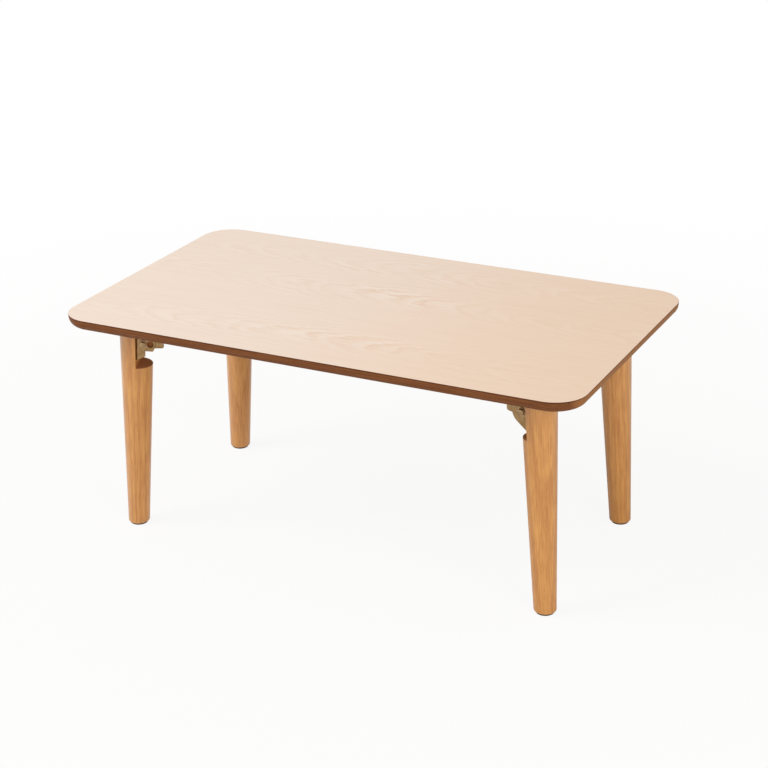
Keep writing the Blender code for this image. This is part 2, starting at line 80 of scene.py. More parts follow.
class Slot(Enum):
    """Material slots of the part's record."""

    FACE = "face_laminate"
    EDGE = "edge_lacquer"
    BACKING = "backing_paper"
    LEG = "leg_wood"
    BRACKET = "bracket_steel"
    RIVET = "rivet_steel"
    SCREW = "screw_steel"
    FELT = "foot_felt"


class Extra(Enum):
    """Second finishes of pieces whose faces aren't all alike."""

    LAMINATE_EDGE = "dark_laminate_edge"
    END_GRAIN = "leg_end_grain"


class Side(Enum):
    """The two ears of a bracket, by the sign of the hinge frame's Y."""

    CATCH = -1
    PLAIN = 1


@dataclass
class Skin:
    """A surface before it becomes a mesh.

    Attributes:
        points: One row of x, y, z for each point.
        faces: Point numbers of each face.
        values: Values kept on the points by attribute name, one number or three for each point.
    """

    points: np.ndarray
    faces: list[list[int]]
    values: dict[str, np.ndarray] = field(default_factory=dict)

    def carried(self, place: np.ndarray) -> "Skin":
        """The same surface carried by a 4 by 4 matrix."""
        return Skin(self.points @ place[:3, :3].T + place[:3, 3], self.faces, self.values)


def ring_faces(rows: int, columns: int, wrap_rows: bool = False) -> np.ndarray:
    """Quads of a grid whose columns run round.

    Quad (i, j) joins the points (i, j), (i, j + 1), (i + 1, j + 1) and (i + 1, j), and the point (i, j)
    is number i * columns + j.

    Args:
        rows: Rings of points.
        columns: Points in each ring.
        wrap_rows: Whether the last ring joins the first.

    Returns:
        One row of four point numbers for each quad.
    """
    steps = rows if wrap_rows else rows - 1
    row, column = np.meshgrid(np.arange(steps), np.arange(columns), indexing="ij")
    after = (column + 1) % columns
    lower = row * columns
    upper = (row + 1) % rows * columns
    corners = [lower + column, lower + after, upper + after, upper + column]
    return np.stack(corners, axis=-1).reshape(-1, 4)


def skin_of_rings(
    rings: np.ndarray, low_pole: np.ndarray | None = None, high_pole: np.ndarray | None = None
) -> Skin:
    """A closed surface from rings that are stacked upwards and run anticlockwise.

    Args:
        rings: Points as (rows, columns, 3).
        low_pole: Point that closes the first ring, which is else closed by one flat face.
        high_pole: Point that closes the last ring, which is else closed by one flat face.

    Returns:
        The closed surface.
    """
    rows, columns = rings.shape[:2]
    points = rings.reshape(-1, 3)
    faces = ring_faces(rows, columns).tolist()
    ring = np.arange(columns)
    last = ring + (rows - 1) * columns
    for pole, rim in ((low_pole, ring[::-1]), (high_pole, last)):
        if pole is None:
            faces.append(rim.tolist())
            continue
        tip = np.full(columns, len(points))
        points = np.vstack([points, pole])
        faces += np.stack([rim, np.roll(rim, -1), tip], axis=-1).tolist()
    return Skin(points, faces)


def round_angles(columns: int) -> np.ndarray:
    """Even angles over one full turn, without its end."""
    return np.linspace(0, FULL_TURN, columns, endpoint=False)


def rings_about_z(radius: np.ndarray, height: np.ndarray, columns: int) -> np.ndarray:
    """Rings about Z: the point at angle a is (r cos a, r sin a, h).

    Args:
        radius: Radii as (rows, 1), or as (rows, columns) where a ring isn't round.
        height: Heights, likewise.
        columns: Points in each ring.

    Returns:
        Points as (rows, columns, 3).
    """
    angle = round_angles(columns)
    return np.stack([radius * np.cos(angle), radius * np.sin(angle), height * np.ones(columns)], axis=-1)


def turned(profile: np.ndarray, columns: int) -> Skin:
    """A profile turned about Z from pole to pole.

    Args:
        profile: Radius and height of each point, listed upwards, with its two ends on the axis.
        columns: Points round the axis.

    Returns:
        The closed surface.
    """
    rings = rings_about_z(*profile[1:-1].T[..., None], columns)
    poles = np.array([[0, 0, profile[0, 1]], [0, 0, profile[-1, 1]]])
    return skin_of_rings(rings, *poles)


def turned_ring(profile: np.ndarray, columns: int) -> Skin:
    """A closed profile turned about Z, such as a washer or a bush.

    Args:
        profile: Radius and height of each point, upwards on the outside and downwards in the bore.
        columns: Points round the axis.

    Returns:
        The closed surface.
    """
    rings = rings_about_z(*profile.T[..., None], columns)
    return Skin(rings.reshape(-1, 3), ring_faces(len(profile), columns, wrap_rows=True).tolist())


def arc(centre: tuple[float, float], radius: float, start: float, stop: float, steps: int) -> np.ndarray:
    """Points along an arc, both ends included: centre + radius (cos a, sin a), a from start to stop."""
    angle = np.linspace(start, stop, steps + 1)
    return np.array(centre) + radius * np.stack([np.cos(angle), np.sin(angle)], axis=-1)


def smooth_step(value: np.ndarray, low: float, high: float) -> np.ndarray:
    """Rise from 0 at low to 1 at high along t * t * (3 - 2 t)."""
    share = np.clip((value - low) / (high - low), 0, 1)
    return share * share * (3 - 2 * share)


def drawn_in(loop: np.ndarray) -> np.ndarray:
    """How each point of an anticlockwise loop moves when all its edges move inwards by one.

    With the inward normals m and n of the two edges at a point, that is (m + n) / (1 + m . n).

    Args:
        loop: Points of the loop as (n, 2).

    Returns:
        One step for each point, as (n, 2).
    """
    ahead = np.roll(loop, -1, axis=0) - loop
    ahead /= np.linalg.norm(ahead, axis=1, keepdims=True)
    normal = np.stack([-ahead[:, 1], ahead[:, 0]], axis=-1)
    before = np.roll(normal, 1, axis=0)
    return (normal + before) / (1 + np.sum(normal * before, axis=1, keepdims=True))


def moved(spot: tuple, *turns: tuple[float, str]) -> np.ndarray:
    """A 4 by 4 matrix that turns a piece, the last turn first, and then moves it to a spot.

    Args:
        spot: Where the piece's origin goes.
        *turns: Angle and axis letter of each turn.

    Returns:
        The matrix.
    """
    place = Matrix.Translation(spot)
    for angle, letter in turns:
        place = place @ Matrix.Rotation(angle, 4, letter)
    return np.array(place)


def make_piece(
    name: str, skin: Skin, node: str, finishes: Finishes, slot: Slot, *extras: Extra
) -> bpy.types.Object:
    """Turn a surface into a piece that stands for a node and rides on that node's body.

    Args:
        name: The piece's name.
        skin: Its surface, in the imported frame.
        node: The node that it stands for.
        finishes: The material of each slot, and the second materials.
        slot: The record's slot that its finish belongs to.
        *extras: Its further finishes.

    Returns:
        The piece.
    """
    mesh = bpy.data.meshes.new(name)
    mesh.from_pydata(skin.points.tolist(), [], skin.faces)
    for key, values in skin.values.items():
        single = values.ndim == 1
        layer = mesh.attributes.new(key, "FLOAT" if single else "FLOAT_VECTOR", "POINT")
        layer.data.foreach_set("value" if single else "vector", values.astype(np.float32).ravel())
    form = bmesh.new()
    form.from_mesh(mesh)
    bmesh.ops.remove_doubles(form, verts=form.verts, dist=WELD)
    bmesh.ops.recalc_face_normals(form, faces=form.faces)
    form.to_mesh(mesh)
    form.free()
    mesh.shade_smooth()
    mesh.set_sharp_from_angle(angle=SHARP_ANGLE)
    for key in (slot, *extras):
        mesh.materials.append(finishes[key])
    piece = bpy.data.objects.new(name, mesh)
    bpy.context.scene.collection.objects.link(piece)
    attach(piece, BODY_OF[node])
    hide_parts(node)
    LOG.info("%s: %d faces on %s", name, len(mesh.polygons), BODY_OF[node])
    return piece


def give_second_finish(piece: bpy.types.Object, chosen: Callable[[np.ndarray], np.ndarray]) -> None:
    """Give a piece's second material to the faces that are chosen by their normals.

    Args:
        piece: The piece, which has two materials.
        chosen: Tells from normals, as (n, 3), which faces to change.
    """
    polygons = piece.data.polygons
    normal = np.empty(3 * len(polygons), np.float32)
    polygons.foreach_get("normal", normal)
    polygons.foreach_set("material_index", chosen(normal.reshape(-1, 3)).astype(np.int32))


def ease_arrises(piece: bpy.types.Object, width: float) -> None:
    """Round every edge of a piece that turns by more than the eased angle.

    Args:
        piece: The piece.
        width: Width of the rounding.
    """
    bevel = piece.modifiers.new("eased_arrises", "BEVEL")
    bevel.limit_method = "ANGLE"
    bevel.angle_limit = EASED_ANGLE
    bevel.width = width
    bevel.segments = EASED_SEGMENTS
    bevel.harden_normals = True


@dataclass(frozen=True)
class Tint:
    """A colour as a screen shows it, each channel from 0 to 255."""

    red: float
    green: float
    blue: float

    def linear(self) -> tuple[float, float, float, float]:
        """The colour as linear light.

        With c a channel's share of 255, that is c / 12.92 up to 0.04045, else ((c + 0.055) / 1.055)^2.4.

        Returns:
            Red, green, blue and full alpha.
        """
        share = np.array([self.red, self.green, self.blue]) / 255
        light = np.where(share <= 0.04045, share / 12.92, ((share + 0.055) / 1.055) ** 2.4)
        return (*light.tolist(), 1.0)


class Mixed(Enum):
    """What a Mix node mixes: its data type, and the numbers of its two inputs and its output."""

    VALUE = ("FLOAT", 2, 3, 0)
    COLOUR = ("RGBA", 6, 7, 2)


class NodeSheet:
    """Lays nodes in one node tree and joins their sockets."""

    def __init__(self, tree: bpy.types.NodeTree) -> None:
        """Keep the tree that the nodes go into."""
        self.tree = tree

    def feed(self, socket: Socket, value: Feed) -> None:
        """Join a socket to another one, or set its constant.

        Args:
            socket: The input.
            value: The output that feeds it, or its constant.
        """
        if isinstance(value, Socket):
            self.tree.links.new(value, socket)
        else:
            socket.default_value = value.linear() if isinstance(value, Tint) else value

    def add(self, kind: str, feeds: dict[str, Feed] | None = None, **settings: object) -> bpy.types.Node:
        """Add one node.

        Args:
            kind: The kind of node.
            feeds: What feeds its inputs, by their names.
            **settings: The node's own settings.

        Returns:
            The node.
        """
        node = self.tree.nodes.new(kind)
        for name, value in settings.items():
            setattr(node, name, value)
        for name, value in (feeds or {}).items():
            self.feed(node.inputs[name], value)
        return node

    def fed(self, node: bpy.types.Node, *feeds: Feed) -> Socket:
        """Feed a node's inputs in their order.

        Args:
            node: The node.
            *feeds: What feeds its first inputs.

        Returns:
            Its first output.
        """
        for socket, value in zip(node.inputs, feeds):
            self.feed(socket, value)
        return node.outputs[0]

    def math(self, operation: str, first: Feed, second: Feed = 0.0, clamp: bool = False) -> Socket:
        """One sum on two values."""
        node = self.add("ShaderNodeMath", operation=operation, use_clamp=clamp)
        return self.fed(node, first, second)

    def product(self, first: Feed, *others: Feed) -> Socket:
        """Several values multiplied together.

        Args:
            first: The first value.
            *others: The other values.

        Returns:
            Their product.
        """
        for other in others:
            first = self.math("MULTIPLY", first, other)
        return first

    def spread(
        self, value: Feed, low: float, high: float, to_low: float = 0.0, to_high: float = 1.0
    ) -> Socket:
        """Carry a value from one range to another along a smooth step."""
        node = self.add("ShaderNodeMapRange", interpolation_type="SMOOTHSTEP")
        return self.fed(node, value, low, high, to_low, to_high)

    def band(self, value: Feed, rise: tuple[float, float], fall: tuple[float, float]) -> Socket:
        """Rise from 0 to 1 over one range of a value, and fall again over another."""
        return self.product(self.spread(value, *rise), self.spread(value, *fall, 1.0, 0.0))

    def swing(self, noise: Feed, reach: Feed) -> Socket:
        """Noise about its middle, times a reach."""
        return self.product(self.math("SUBTRACT", noise, 0.5), reach)

    def noise(self, place: Feed, scale: Feed, detail: float = 2.0, roughness: float = 0.5) -> Socket:
        """Cloudy noise from 0 to 1."""
        feeds = {"Vector": place, "Scale": scale, "Detail": detail, "Roughness": roughness}
        return self.add("ShaderNodeTexNoise", feeds).outputs["Fac"]

    def mapped(self, place: Feed, draw_out: float = 1.0, origin: tuple = ORIGIN) -> Socket:
        """A place seen from another origin, where patterns are drawn out along X."""
        feeds = {"Vector": place, "Location": origin, "Scale": (draw_out, 1, 1)}
        return self.add("ShaderNodeMapping", feeds, vector_type="TEXTURE").outputs[0]

    def parts(self, place: Feed) -> tuple[Socket, ...]:
        """The x, y and z of a place."""
        return tuple(self.add("ShaderNodeSeparateXYZ", {"Vector": place}).outputs)

    def mix(self, kind: Mixed, share: Feed, first: Feed, second: Feed, blend: str = "MIX") -> Socket:
        """Mix two values or colours.

        Args:
            kind: What is mixed.
            share: Share of the second one.
            first: The first one.
            second: The second one.
            blend: How colours blend.

        Returns:
            The mixture.
        """
        data_type, low, high, out = kind.value
        node = self.add("ShaderNodeMix", data_type=data_type, blend_type=blend)
        for number, value in ((0, share), (low, first), (high, second)):
            self.feed(node.inputs[number], value)
        return node.outputs[out]

    def tint(self, share: Feed, first: Feed, second: Feed, blend: str = "MIX") -> Socket:
        """Mix two colours by a share."""
        return self.mix(Mixed.COLOUR, share, first, second, blend)

    def bump(self, height: Feed, strength: float, distance: float = 0.2 * MM) -> Socket:
        """A normal from a height."""
        feeds = {"Height": height, "Strength": strength, "Distance": distance}
        return self.add("ShaderNodeBump", feeds).outputs[0]

    def object_place(self) -> Socket:
        """The object's own coordinates."""
        return self.add("ShaderNodeTexCoord").outputs["Object"]

    def attribute(self, name: str, output: str) -> Socket:
        """Values that the mesh keeps on its points."""
        return self.add("ShaderNodeAttribute", attribute_name=name).outputs[output]

    def placed(self, effect: "Effect", **feeds: Feed) -> Sockets:
        """Place a shared effect with its own values, and give its outputs."""
        return self.add("ShaderNodeGroup", feeds, node_tree=effect.group()).outputs


class Effect(Enum):
    """Effects that several finishes share, each built once as a node group."""

    WOOD = "wood_figure"
    CATHEDRAL = "cathedral_figure"
    MOTTLE = "mottle"
    WEAR = "arris_wear"

    def group(self) -> bpy.types.NodeTree:
        """The effect's node group, built at its first use."""
        found = bpy.data.node_groups.get(self.value)
        return found or getattr(self, f"build_{self.value}")()

    def begin(
        self, values: tuple[str, ...], outputs: tuple[str, ...]
    ) -> tuple[bpy.types.NodeTree, NodeSheet, Sockets, Sockets]:
        """Start the effect's node group, whose first input is a place.

        Args:
            values: Names of its other inputs, which are all values.
            outputs: Names of its outputs, which are all values.

        Returns:
            The group, a sheet to lay its nodes, what it is given and what it puts out.
        """
        group = bpy.data.node_groups.new(self.value, "ShaderNodeTree")
        group.interface.new_socket(name="Place", in_out="INPUT", socket_type="NodeSocketVector")
        for in_out, names in (("INPUT", values), ("OUTPUT", outputs)):
            for name in names:
                group.interface.new_socket(name=name, in_out=in_out, socket_type="NodeSocketFloat")
        sheet = NodeSheet(group)
        return group, sheet, sheet.add("NodeGroupInput").outputs, sheet.add("NodeGroupOutput").inputs

    def build_wood_figure(self) -> bpy.types.NodeTree:
        """Growth rings, fibre and pores of wood whose grain runs along X, about a pith on the X axis.

        Rings are the fraction of (distance from X + warp) / spacing, with a soft dark late wood. Fibre and
        pores are noise drawn out along X.

        Returns:
            The node group, with Rings, Fibre and Pores from 0 to 1.
        """
        inputs = ("Ring_Spacing", "Warp", "Fibre_Scale")
        group, sheet, given, out = self.begin(inputs, ("Rings", "Fibre", "Pores"))
        place, fineness = given["Place"], given["Fibre_Scale"]
        waves = sheet.noise(sheet.mapped(place, draw_out=4), scale=16.0, detail=3.0, roughness=0.55)
        _, y, z = sheet.parts(place)
        distance = sheet.math("SQRT", sheet.math("ADD", sheet.product(y, y), sheet.product(z, z)))
        warped = sheet.math("ADD", distance, sheet.swing(waves, given["Warp"]))
        ring = sheet.math("FRACT", sheet.math("DIVIDE", warped, given["Ring_Spacing"]))
        sheet.feed(out["Rings"], sheet.band(ring, rise=(0.2, 0.85), fall=(0.88, 1.0)))
        fibre = sheet.noise(sheet.mapped(place, draw_out=40), fineness, detail=3.0, roughness=0.6)
        sheet.feed(out["Fibre"], fibre)
        cells = sheet.noise(sheet.mapped(place, draw_out=12), fineness, detail=1.0, roughness=0.4)
        sheet.feed(out["Pores"], sheet.spread(cells, 0.62, 0.74))
        return group

    def build_cathedral_figure(self) -> bpy.types.NodeTree:
        """Pointed arches of a flat sawn leaf whose heart runs along X, with their tips towards -X.

        An arch lies where (x + sway + feather - bend y^2) / spacing is a whole number. Sway is broad noise,
        and feather is noise drawn out along X, which frays the arches.

        Returns:
            The node group, with Late, Early and Heart from 0 to 1.
        """
        inputs = ("Spacing", "Bend", "Sway", "Feather")
        group, sheet, given, out = self.begin(inputs, ("Late", "Early", "Heart"))
        place = given["Place"]
        broad = sheet.noise(sheet.mapped(place, draw_out=1.4), scale=24.0, detail=3.0, roughness=0.6)
        fine = sheet.noise(sheet.mapped(place, draw_out=9), scale=260.0, detail=2.0, roughness=0.6)
        frayed = sheet.math("ADD", sheet.swing(broad, given["Sway"]), sheet.swing(fine, given["Feather"]))
        x, y, _ = sheet.parts(place)
        arch = sheet.product(sheet.math("POWER", y, 2.0), given["Bend"])
        run = sheet.math("ADD", sheet.math("SUBTRACT", x, arch), frayed)
        ring = sheet.math("FRACT", sheet.math("DIVIDE", run, given["Spacing"]))
        sheet.feed(out["Late"], sheet.band(ring, rise=(0.0, 0.12), fall=(0.14, 0.5)))
        sheet.feed(out["Early"], sheet.band(ring, rise=(0.45, 0.8), fall=(0.9, 1.0)))
        sheet.feed(out["Heart"], sheet.spread(sheet.math("ABSOLUTE", y), 0.01, 0.05, 1.0, 0.0))
        return group

    def build_mottle(self) -> bpy.types.NodeTree:
        """Soft clouds and fine grain at one scale and eight times that scale.

        Returns:
            The node group, with Cloud and Grain from 0 to 1.
        """
        group, sheet, given, out = self.begin(("Scale",), ("Cloud", "Grain"))
        place, scale = given["Place"], given["Scale"]
        sheet.feed(out["Cloud"], sheet.spread(sheet.noise(place, scale, detail=3.0), 0.3, 0.7))
        fine = sheet.noise(place, sheet.product(scale, 8.0), detail=2.0, roughness=0.7)
        sheet.feed(out["Grain"], fine)
        return group

    def build_arris_wear(self) -> bpy.types.NodeTree:
        """Rubbed arrises: the mesh's own arris mark, broken up by noise.

        Returns:
            The node group, with Wear from 0 to 1.
        """
        group, sheet, given, out = self.begin(("Scale",), ("Wear",))
        patches = sheet.spread(sheet.noise(given["Place"], given["Scale"], detail=3.0), 0.35, 0.6)
        sheet.feed(out["Wear"], sheet.product(patches, sheet.attribute("arris", "Fac")))
        return group


@dataclass(frozen=True)
class Finish:
    """One finish of the table, kept as a material of the same name."""

    name: str

    def feeds(self, sheet: NodeSheet) -> dict[str, Feed]:
        """What feeds the Principled shader's inputs, by their names."""
        raise NotImplementedError

    def material(self) -> bpy.types.Material:
        """Build the material.

        Returns:
            The material, with its Principled shader fed.
        """
        material = bpy.data.materials.new(self.name)
        material.use_nodes = True
        sheet = NodeSheet(material.node_tree)
        shader = material.node_tree.nodes["Principled BSDF"]
        for name, value in self.feeds(sheet).items():
            sheet.feed(shader.inputs[name], value)
        return material


@dataclass(frozen=True)
class FaceLaminate(Finish):
    """Pale satin laminate with the faint print of three flat sawn leaves side by side.

    Attributes:
        pale: Main colour at the left end of the print, paler there as painted light.
        tan: Main colour at the right end of the print, where the painted light is weaker.
        late: What the arches' dark sides are multiplied by.
        early: Colour that the arches' pale sides go towards.
        fleck: Colour of the warm flecks near the arches' tips.
        hearts: Heart line of each leaf, as x and y, in order of y.
        leaf_step: How far apart in depth the leaves' noise is read.
        joints: Where each two leaves meet, as y.
        joint_blur: How far to either side of a joint two leaves run into each other.
        spacing: Spacing of the arches along their heart line.
        bend: How quickly the arches bend away from their heart line.
        sway: Reach of the arches' broad sway.
        feather: Reach of the fraying along the arches.
        painted_light_drift: Where the main colour starts and ends to change from pale to tan, as x: painted
            light, paler at the left end that the light falls on.
        fade: Where the figure starts and ends to fade, as x.
        warm: Where the figure and its flecks start and come to their full strength, as x.
        cloud_origin: Where the clouds that break up the figure are centred.
        dark_share: Least and greatest share of the dark sides at the hearts.
        faint_share: Greatest share of the dark sides away from the hearts.
        pale_share: Least and greatest share of the pale sides.
        streak_share: Greatest share of the fibre streaks.
        fleck_share: Least and greatest share of the flecks.
        roughness: Least and greatest roughness.
        gloss: Specular level.
    """

    pale: Tint = Tint(239, 219, 202)
    tan: Tint = Tint(237, 208, 182)
    late: Tint = Tint(246, 239, 230)
    early: Tint = Tint(247, 235, 224)
    fleck: Tint = Tint(229, 192, 158)
    hearts: tuple = ((-0.045, -0.13), (-0.045, 0.034), (-0.02, 0.14))
    leaf_step: float = 0.37
    joints: tuple = (-0.04, 0.1)
    joint_blur: float = 0.012
    spacing: float = 0.044
    bend: float = 62.0
    sway: float = 0.1
    feather: float = 0.06
    painted_light_drift: tuple = (-0.19, 0.37)
    fade: tuple = (0.01, 0.16)
    warm: tuple = (-0.17, -0.03)
    cloud_origin: tuple = (-0.05, -0.01, 0)
    dark_share: tuple = (0.15, 0.5)
    faint_share: float = 0.14
    pale_share: tuple = (0.1, 0.42)
    streak_share: float = 0.32
    fleck_share: tuple = (0.1, 0.5)
    roughness: tuple = (0.42, 0.52)
    gloss: float = 0.3

    def figure(self, sheet: NodeSheet, place: Socket, across: Feed) -> dict[str, Socket]:
        """Lay the leaves side by side.

        Args:
            sheet: Where the nodes go.
            place: Object coordinates.
            across: Their y.

        Returns:
            Late, Early and Heart of whichever leaf a point lies on.
        """
        leaves = [
            sheet.placed(
                Effect.CATHEDRAL,
                Place=sheet.mapped(place, origin=(x, y, self.leaf_step * number)),
                Spacing=self.spacing,
                Bend=self.bend,
                Sway=self.sway,
                Feather=self.feather,
            )
            for number, (x, y) in enumerate(self.hearts)
        ]
        found = dict(leaves[0].items())
        for leaf, joint in zip(leaves[1:], self.joints):
            beyond = sheet.spread(across, joint - self.joint_blur, joint + self.joint_blur)
            found = {name: sheet.mix(Mixed.VALUE, beyond, found[name], leaf[name]) for name in found}
        return found

    def feeds(self, sheet: NodeSheet) -> dict[str, Feed]:
        """Lay the print: its main colour with its painted light from left to right, the arches' dark and pale
        sides, streaks and flecks.

        Args:
            sheet: Where the nodes go.

        Returns:
            What feeds the Principled shader's inputs, by their names.
        """
        place = sheet.object_place()
        x, y, _ = sheet.parts(place)
        figure = self.figure(sheet, place, y)
        fibre = sheet.placed(Effect.WOOD, Place=place, Fibre_Scale=420.0)["Fibre"]
        clouds = sheet.mapped(place, draw_out=2, origin=self.cloud_origin)
        cloud = sheet.placed(Effect.MOTTLE, Place=clouds, Scale=16.0)["Cloud"]
        shown = sheet.product(sheet.spread(x, *self.warm, 0.6, 1.0), sheet.spread(x, *self.fade, 1.0, 0.25))
        # Painted light: the main colour turns from pale at the left end, where the light falls, to tan at the
        # right.
        colour = sheet.tint(sheet.spread(x, *self.painted_light_drift), self.pale, self.tan)

        heart = sheet.product(figure["Heart"], sheet.spread(cloud, 0, 1, *self.dark_share))
        strength = sheet.math("ADD", heart, sheet.spread(cloud, 0, 1, 0.0, self.faint_share))
        darker = sheet.product(strength, shown, figure["Late"])
        colour = sheet.tint(darker, colour, self.late, "MULTIPLY")

        wisps = sheet.product(shown, sheet.spread(cloud, 0, 1, *self.pale_share))
        paler = sheet.product(wisps, sheet.spread(figure["Heart"], 0, 1, 0.3, 1.0), figure["Early"])
        colour = sheet.tint(paler, colour, self.early)

        streak = sheet.spread(fibre, 0.4, 0.75, 0.0, self.streak_share)
        colour = sheet.tint(streak, colour, self.late, "MULTIPLY")

        tips = sheet.product(figure["Late"], sheet.spread(figure["Heart"], 0.4, 1.0))
        brushed = sheet.product(sheet.spread(x, *self.warm), shown, sheet.spread(fibre, 0.36, 0.6))
        flecks = sheet.product(tips, brushed, sheet.spread(cloud, 0.2, 0.9, *self.fleck_share))
        return {
            "Base Color": sheet.tint(flecks, colour, self.fleck),
            "Roughness": sheet.spread(fibre, 0.2, 0.8, *self.roughness),
            "Specular IOR Level": self.gloss,
            "Normal": sheet.bump(fibre, strength=0.1),
        }


@dataclass(frozen=True)
class EdgeLacquer(Finish):
    """Brown lacquer over a sanded board edge, rubbed thin at the short ends, in which a little fibre shows.

    Attributes:
        brown: Main colour.
        dark: Colour of the fibre.
        speckle_and_lit_end: Colour of the pale speckle, and of the painted light at the short ends.
        speckle_share: Greatest share of the speckle.
        lit_ends: Where the painted light at the short ends starts and is full, as x to either side.
        lit_end_share: Least and greatest share of the painted light there.
        roughness: Least and greatest roughness.
        gloss: Specular level.
    """

    brown: Tint = Tint(128, 78, 43)
    dark: Tint = Tint(103, 59, 30)
    speckle_and_lit_end: Tint = Tint(153, 102, 57)
    speckle_share: float = 0.5
    lit_ends: tuple = (0.338, 0.347)
    lit_end_share: tuple = (0.75, 1.0)
    roughness: tuple = (0.5, 0.64)
    gloss: float = 0.15

    def feeds(self, sheet: NodeSheet) -> dict[str, Feed]:
        """Lay the lacquer: brown with darker fibre, a pale speckle, and painted light at the short ends.

        Args:
            sheet: Where the nodes go.

        Returns:
            What feeds the Principled shader's inputs, by their names.
        """
        place = sheet.object_place()
        x, _, _ = sheet.parts(place)
        fibre = sheet.placed(Effect.WOOD, Place=place, Fibre_Scale=700.0)["Fibre"]
        mottle = sheet.placed(Effect.MOTTLE, Place=place, Scale=160.0)
        colour = sheet.tint(sheet.spread(fibre, 0.3, 0.7), self.brown, self.dark)
        speckle = sheet.spread(mottle["Grain"], 0.55, 0.75, 0.0, self.speckle_share)
        # Painted light: the short ends are made paler, as if they caught more light.
        ends = sheet.spread(sheet.math("ABSOLUTE", x), *self.lit_ends)
        lit_end = sheet.product(ends, sheet.spread(mottle["Cloud"], 0, 1, *self.lit_end_share))
        return {
            "Base Color": sheet.tint(sheet.math("MAXIMUM", speckle, lit_end), colour, self.speckle_and_lit_end),
            "Roughness": sheet.spread(mottle["Cloud"], 0, 1, *self.roughness),
            "Specular IOR Level": self.gloss,
            "Normal": sheet.bump(mottle["Grain"], strength=0.25),
        }


@dataclass(frozen=True)
class BackingPaper(Finish):
    """Brown matt balancing paper under the board, with short loose fibres.

    Attributes:
        pale: Main colour.
        fibre: Colour of the fibres.
        roughness: Least and greatest roughness.
    """

    pale: Tint = Tint(158, 126, 95)
    fibre: Tint = Tint(134, 102, 74)
    roughness: tuple = (0.68, 0.82)

    def feeds(self, sheet: NodeSheet) -> dict[str, Feed]:
        """Lay the paper: fibres that come and go in clouds.

        Args:
            sheet: Where the nodes go.

        Returns:
            What feeds the Principled shader's inputs, by their names.
        """
        place = sheet.object_place()
        mottle = sheet.placed(Effect.MOTTLE, Place=place, Scale=60.0)
        fibres = sheet.placed(Effect.MOTTLE, Place=sheet.mapped(place, draw_out=3), Scale=90.0)["Grain"]
        share = sheet.product(sheet.spread(fibres, 0.4, 0.75), mottle["Cloud"])
        return {
            "Base Color": sheet.tint(share, self.pale, self.fibre),
            "Roughness": sheet.spread(mottle["Grain"], 0.2, 0.8, *self.roughness),
            "Normal": sheet.bump(fibres, strength=0.3),
        }


@dataclass(frozen=True)
class LegWood(Finish):
    """Warm clear lacquered hardwood, with the grain along each leg.

    Attributes:
        honey: Colour of the early wood.
        late: Colour of the late wood.
        pore: Colour of the short dark pores.
        ring_spacing: Spacing of the growth rings.
        ring_warp: Reach of their warp.
        ring_share: Greatest share of late wood in the rings.
        fibre_share: Greatest share of late wood in the fibre.
        dash_share: Greatest share of late wood in the short dashes.
        cloud_share: Greatest share of late wood in the clouds.
        pore_share: Greatest share of the pores' colour.
        roughness: Least and greatest roughness of the wood.
        gloss: Specular level of the wood.
        coat: Weight of the clear lacquer.
        coat_roughness: Roughness of the clear lacquer.
    """

    honey: Tint = Tint(219, 156, 76)
    late: Tint = Tint(187, 120, 49)
    pore: Tint = Tint(150, 88, 34)
    ring_spacing: float = 6.2 * MM
    ring_warp: float = 14 * MM
    ring_share: float = 0.34
    fibre_share: float = 0.25
    dash_share: float = 0.42
    cloud_share: float = 0.3
    pore_share: float = 0.22
    roughness: tuple = (0.34, 0.46)
    gloss: float = 0.7
    coat: float = 0.6
    coat_roughness: float = 0.25

    def feeds(self, sheet: NodeSheet) -> dict[str, Feed]:
        """Lay the wood, which reads the grain place that each leg keeps on its points.

        Args:
            sheet: Where the nodes go.

        Returns:
            What feeds the Principled shader's inputs, by their names.
        """
        place = sheet.attribute("grain_place", "Vector")
        wood = sheet.placed(
            Effect.WOOD, Place=place, Ring_Spacing=self.ring_spacing, Warp=self.ring_warp, Fibre_Scale=900.0
        )
        cloud = sheet.placed(Effect.MOTTLE, Place=sheet.mapped(place, draw_out=3), Scale=80.0)["Cloud"]
        dashes = sheet.noise(sheet.mapped(place, draw_out=15), scale=480.0, detail=2.0, roughness=0.6)
        rings = sheet.product(wood["Rings"], self.ring_share)
        fibre = sheet.spread(wood["Fibre"], 0.3, 0.72, 0.0, self.fibre_share)
        dash = sheet.spread(dashes, 0.38, 0.66, 0.0, self.dash_share)
        clouds = sheet.product(cloud, self.cloud_share)
        lines = sheet.math("ADD", rings, fibre)
        share = sheet.math("ADD", lines, sheet.math("ADD", dash, clouds), clamp=True)
        colour = sheet.tint(share, self.honey, self.late)
        pores = sheet.product(wood["Pores"], self.pore_share)
        height = sheet.math("SUBTRACT", wood["Fibre"], wood["Pores"])
        return {
            "Base Color": sheet.tint(pores, colour, self.pore),
            "Roughness": sheet.spread(wood["Fibre"], 0.2, 0.8, *self.roughness),
            "Specular IOR Level": self.gloss,
            "Coat Weight": self.coat,
            "Coat Roughness": self.coat_roughness,
            "Normal": sheet.bump(height, strength=0.15),
        }


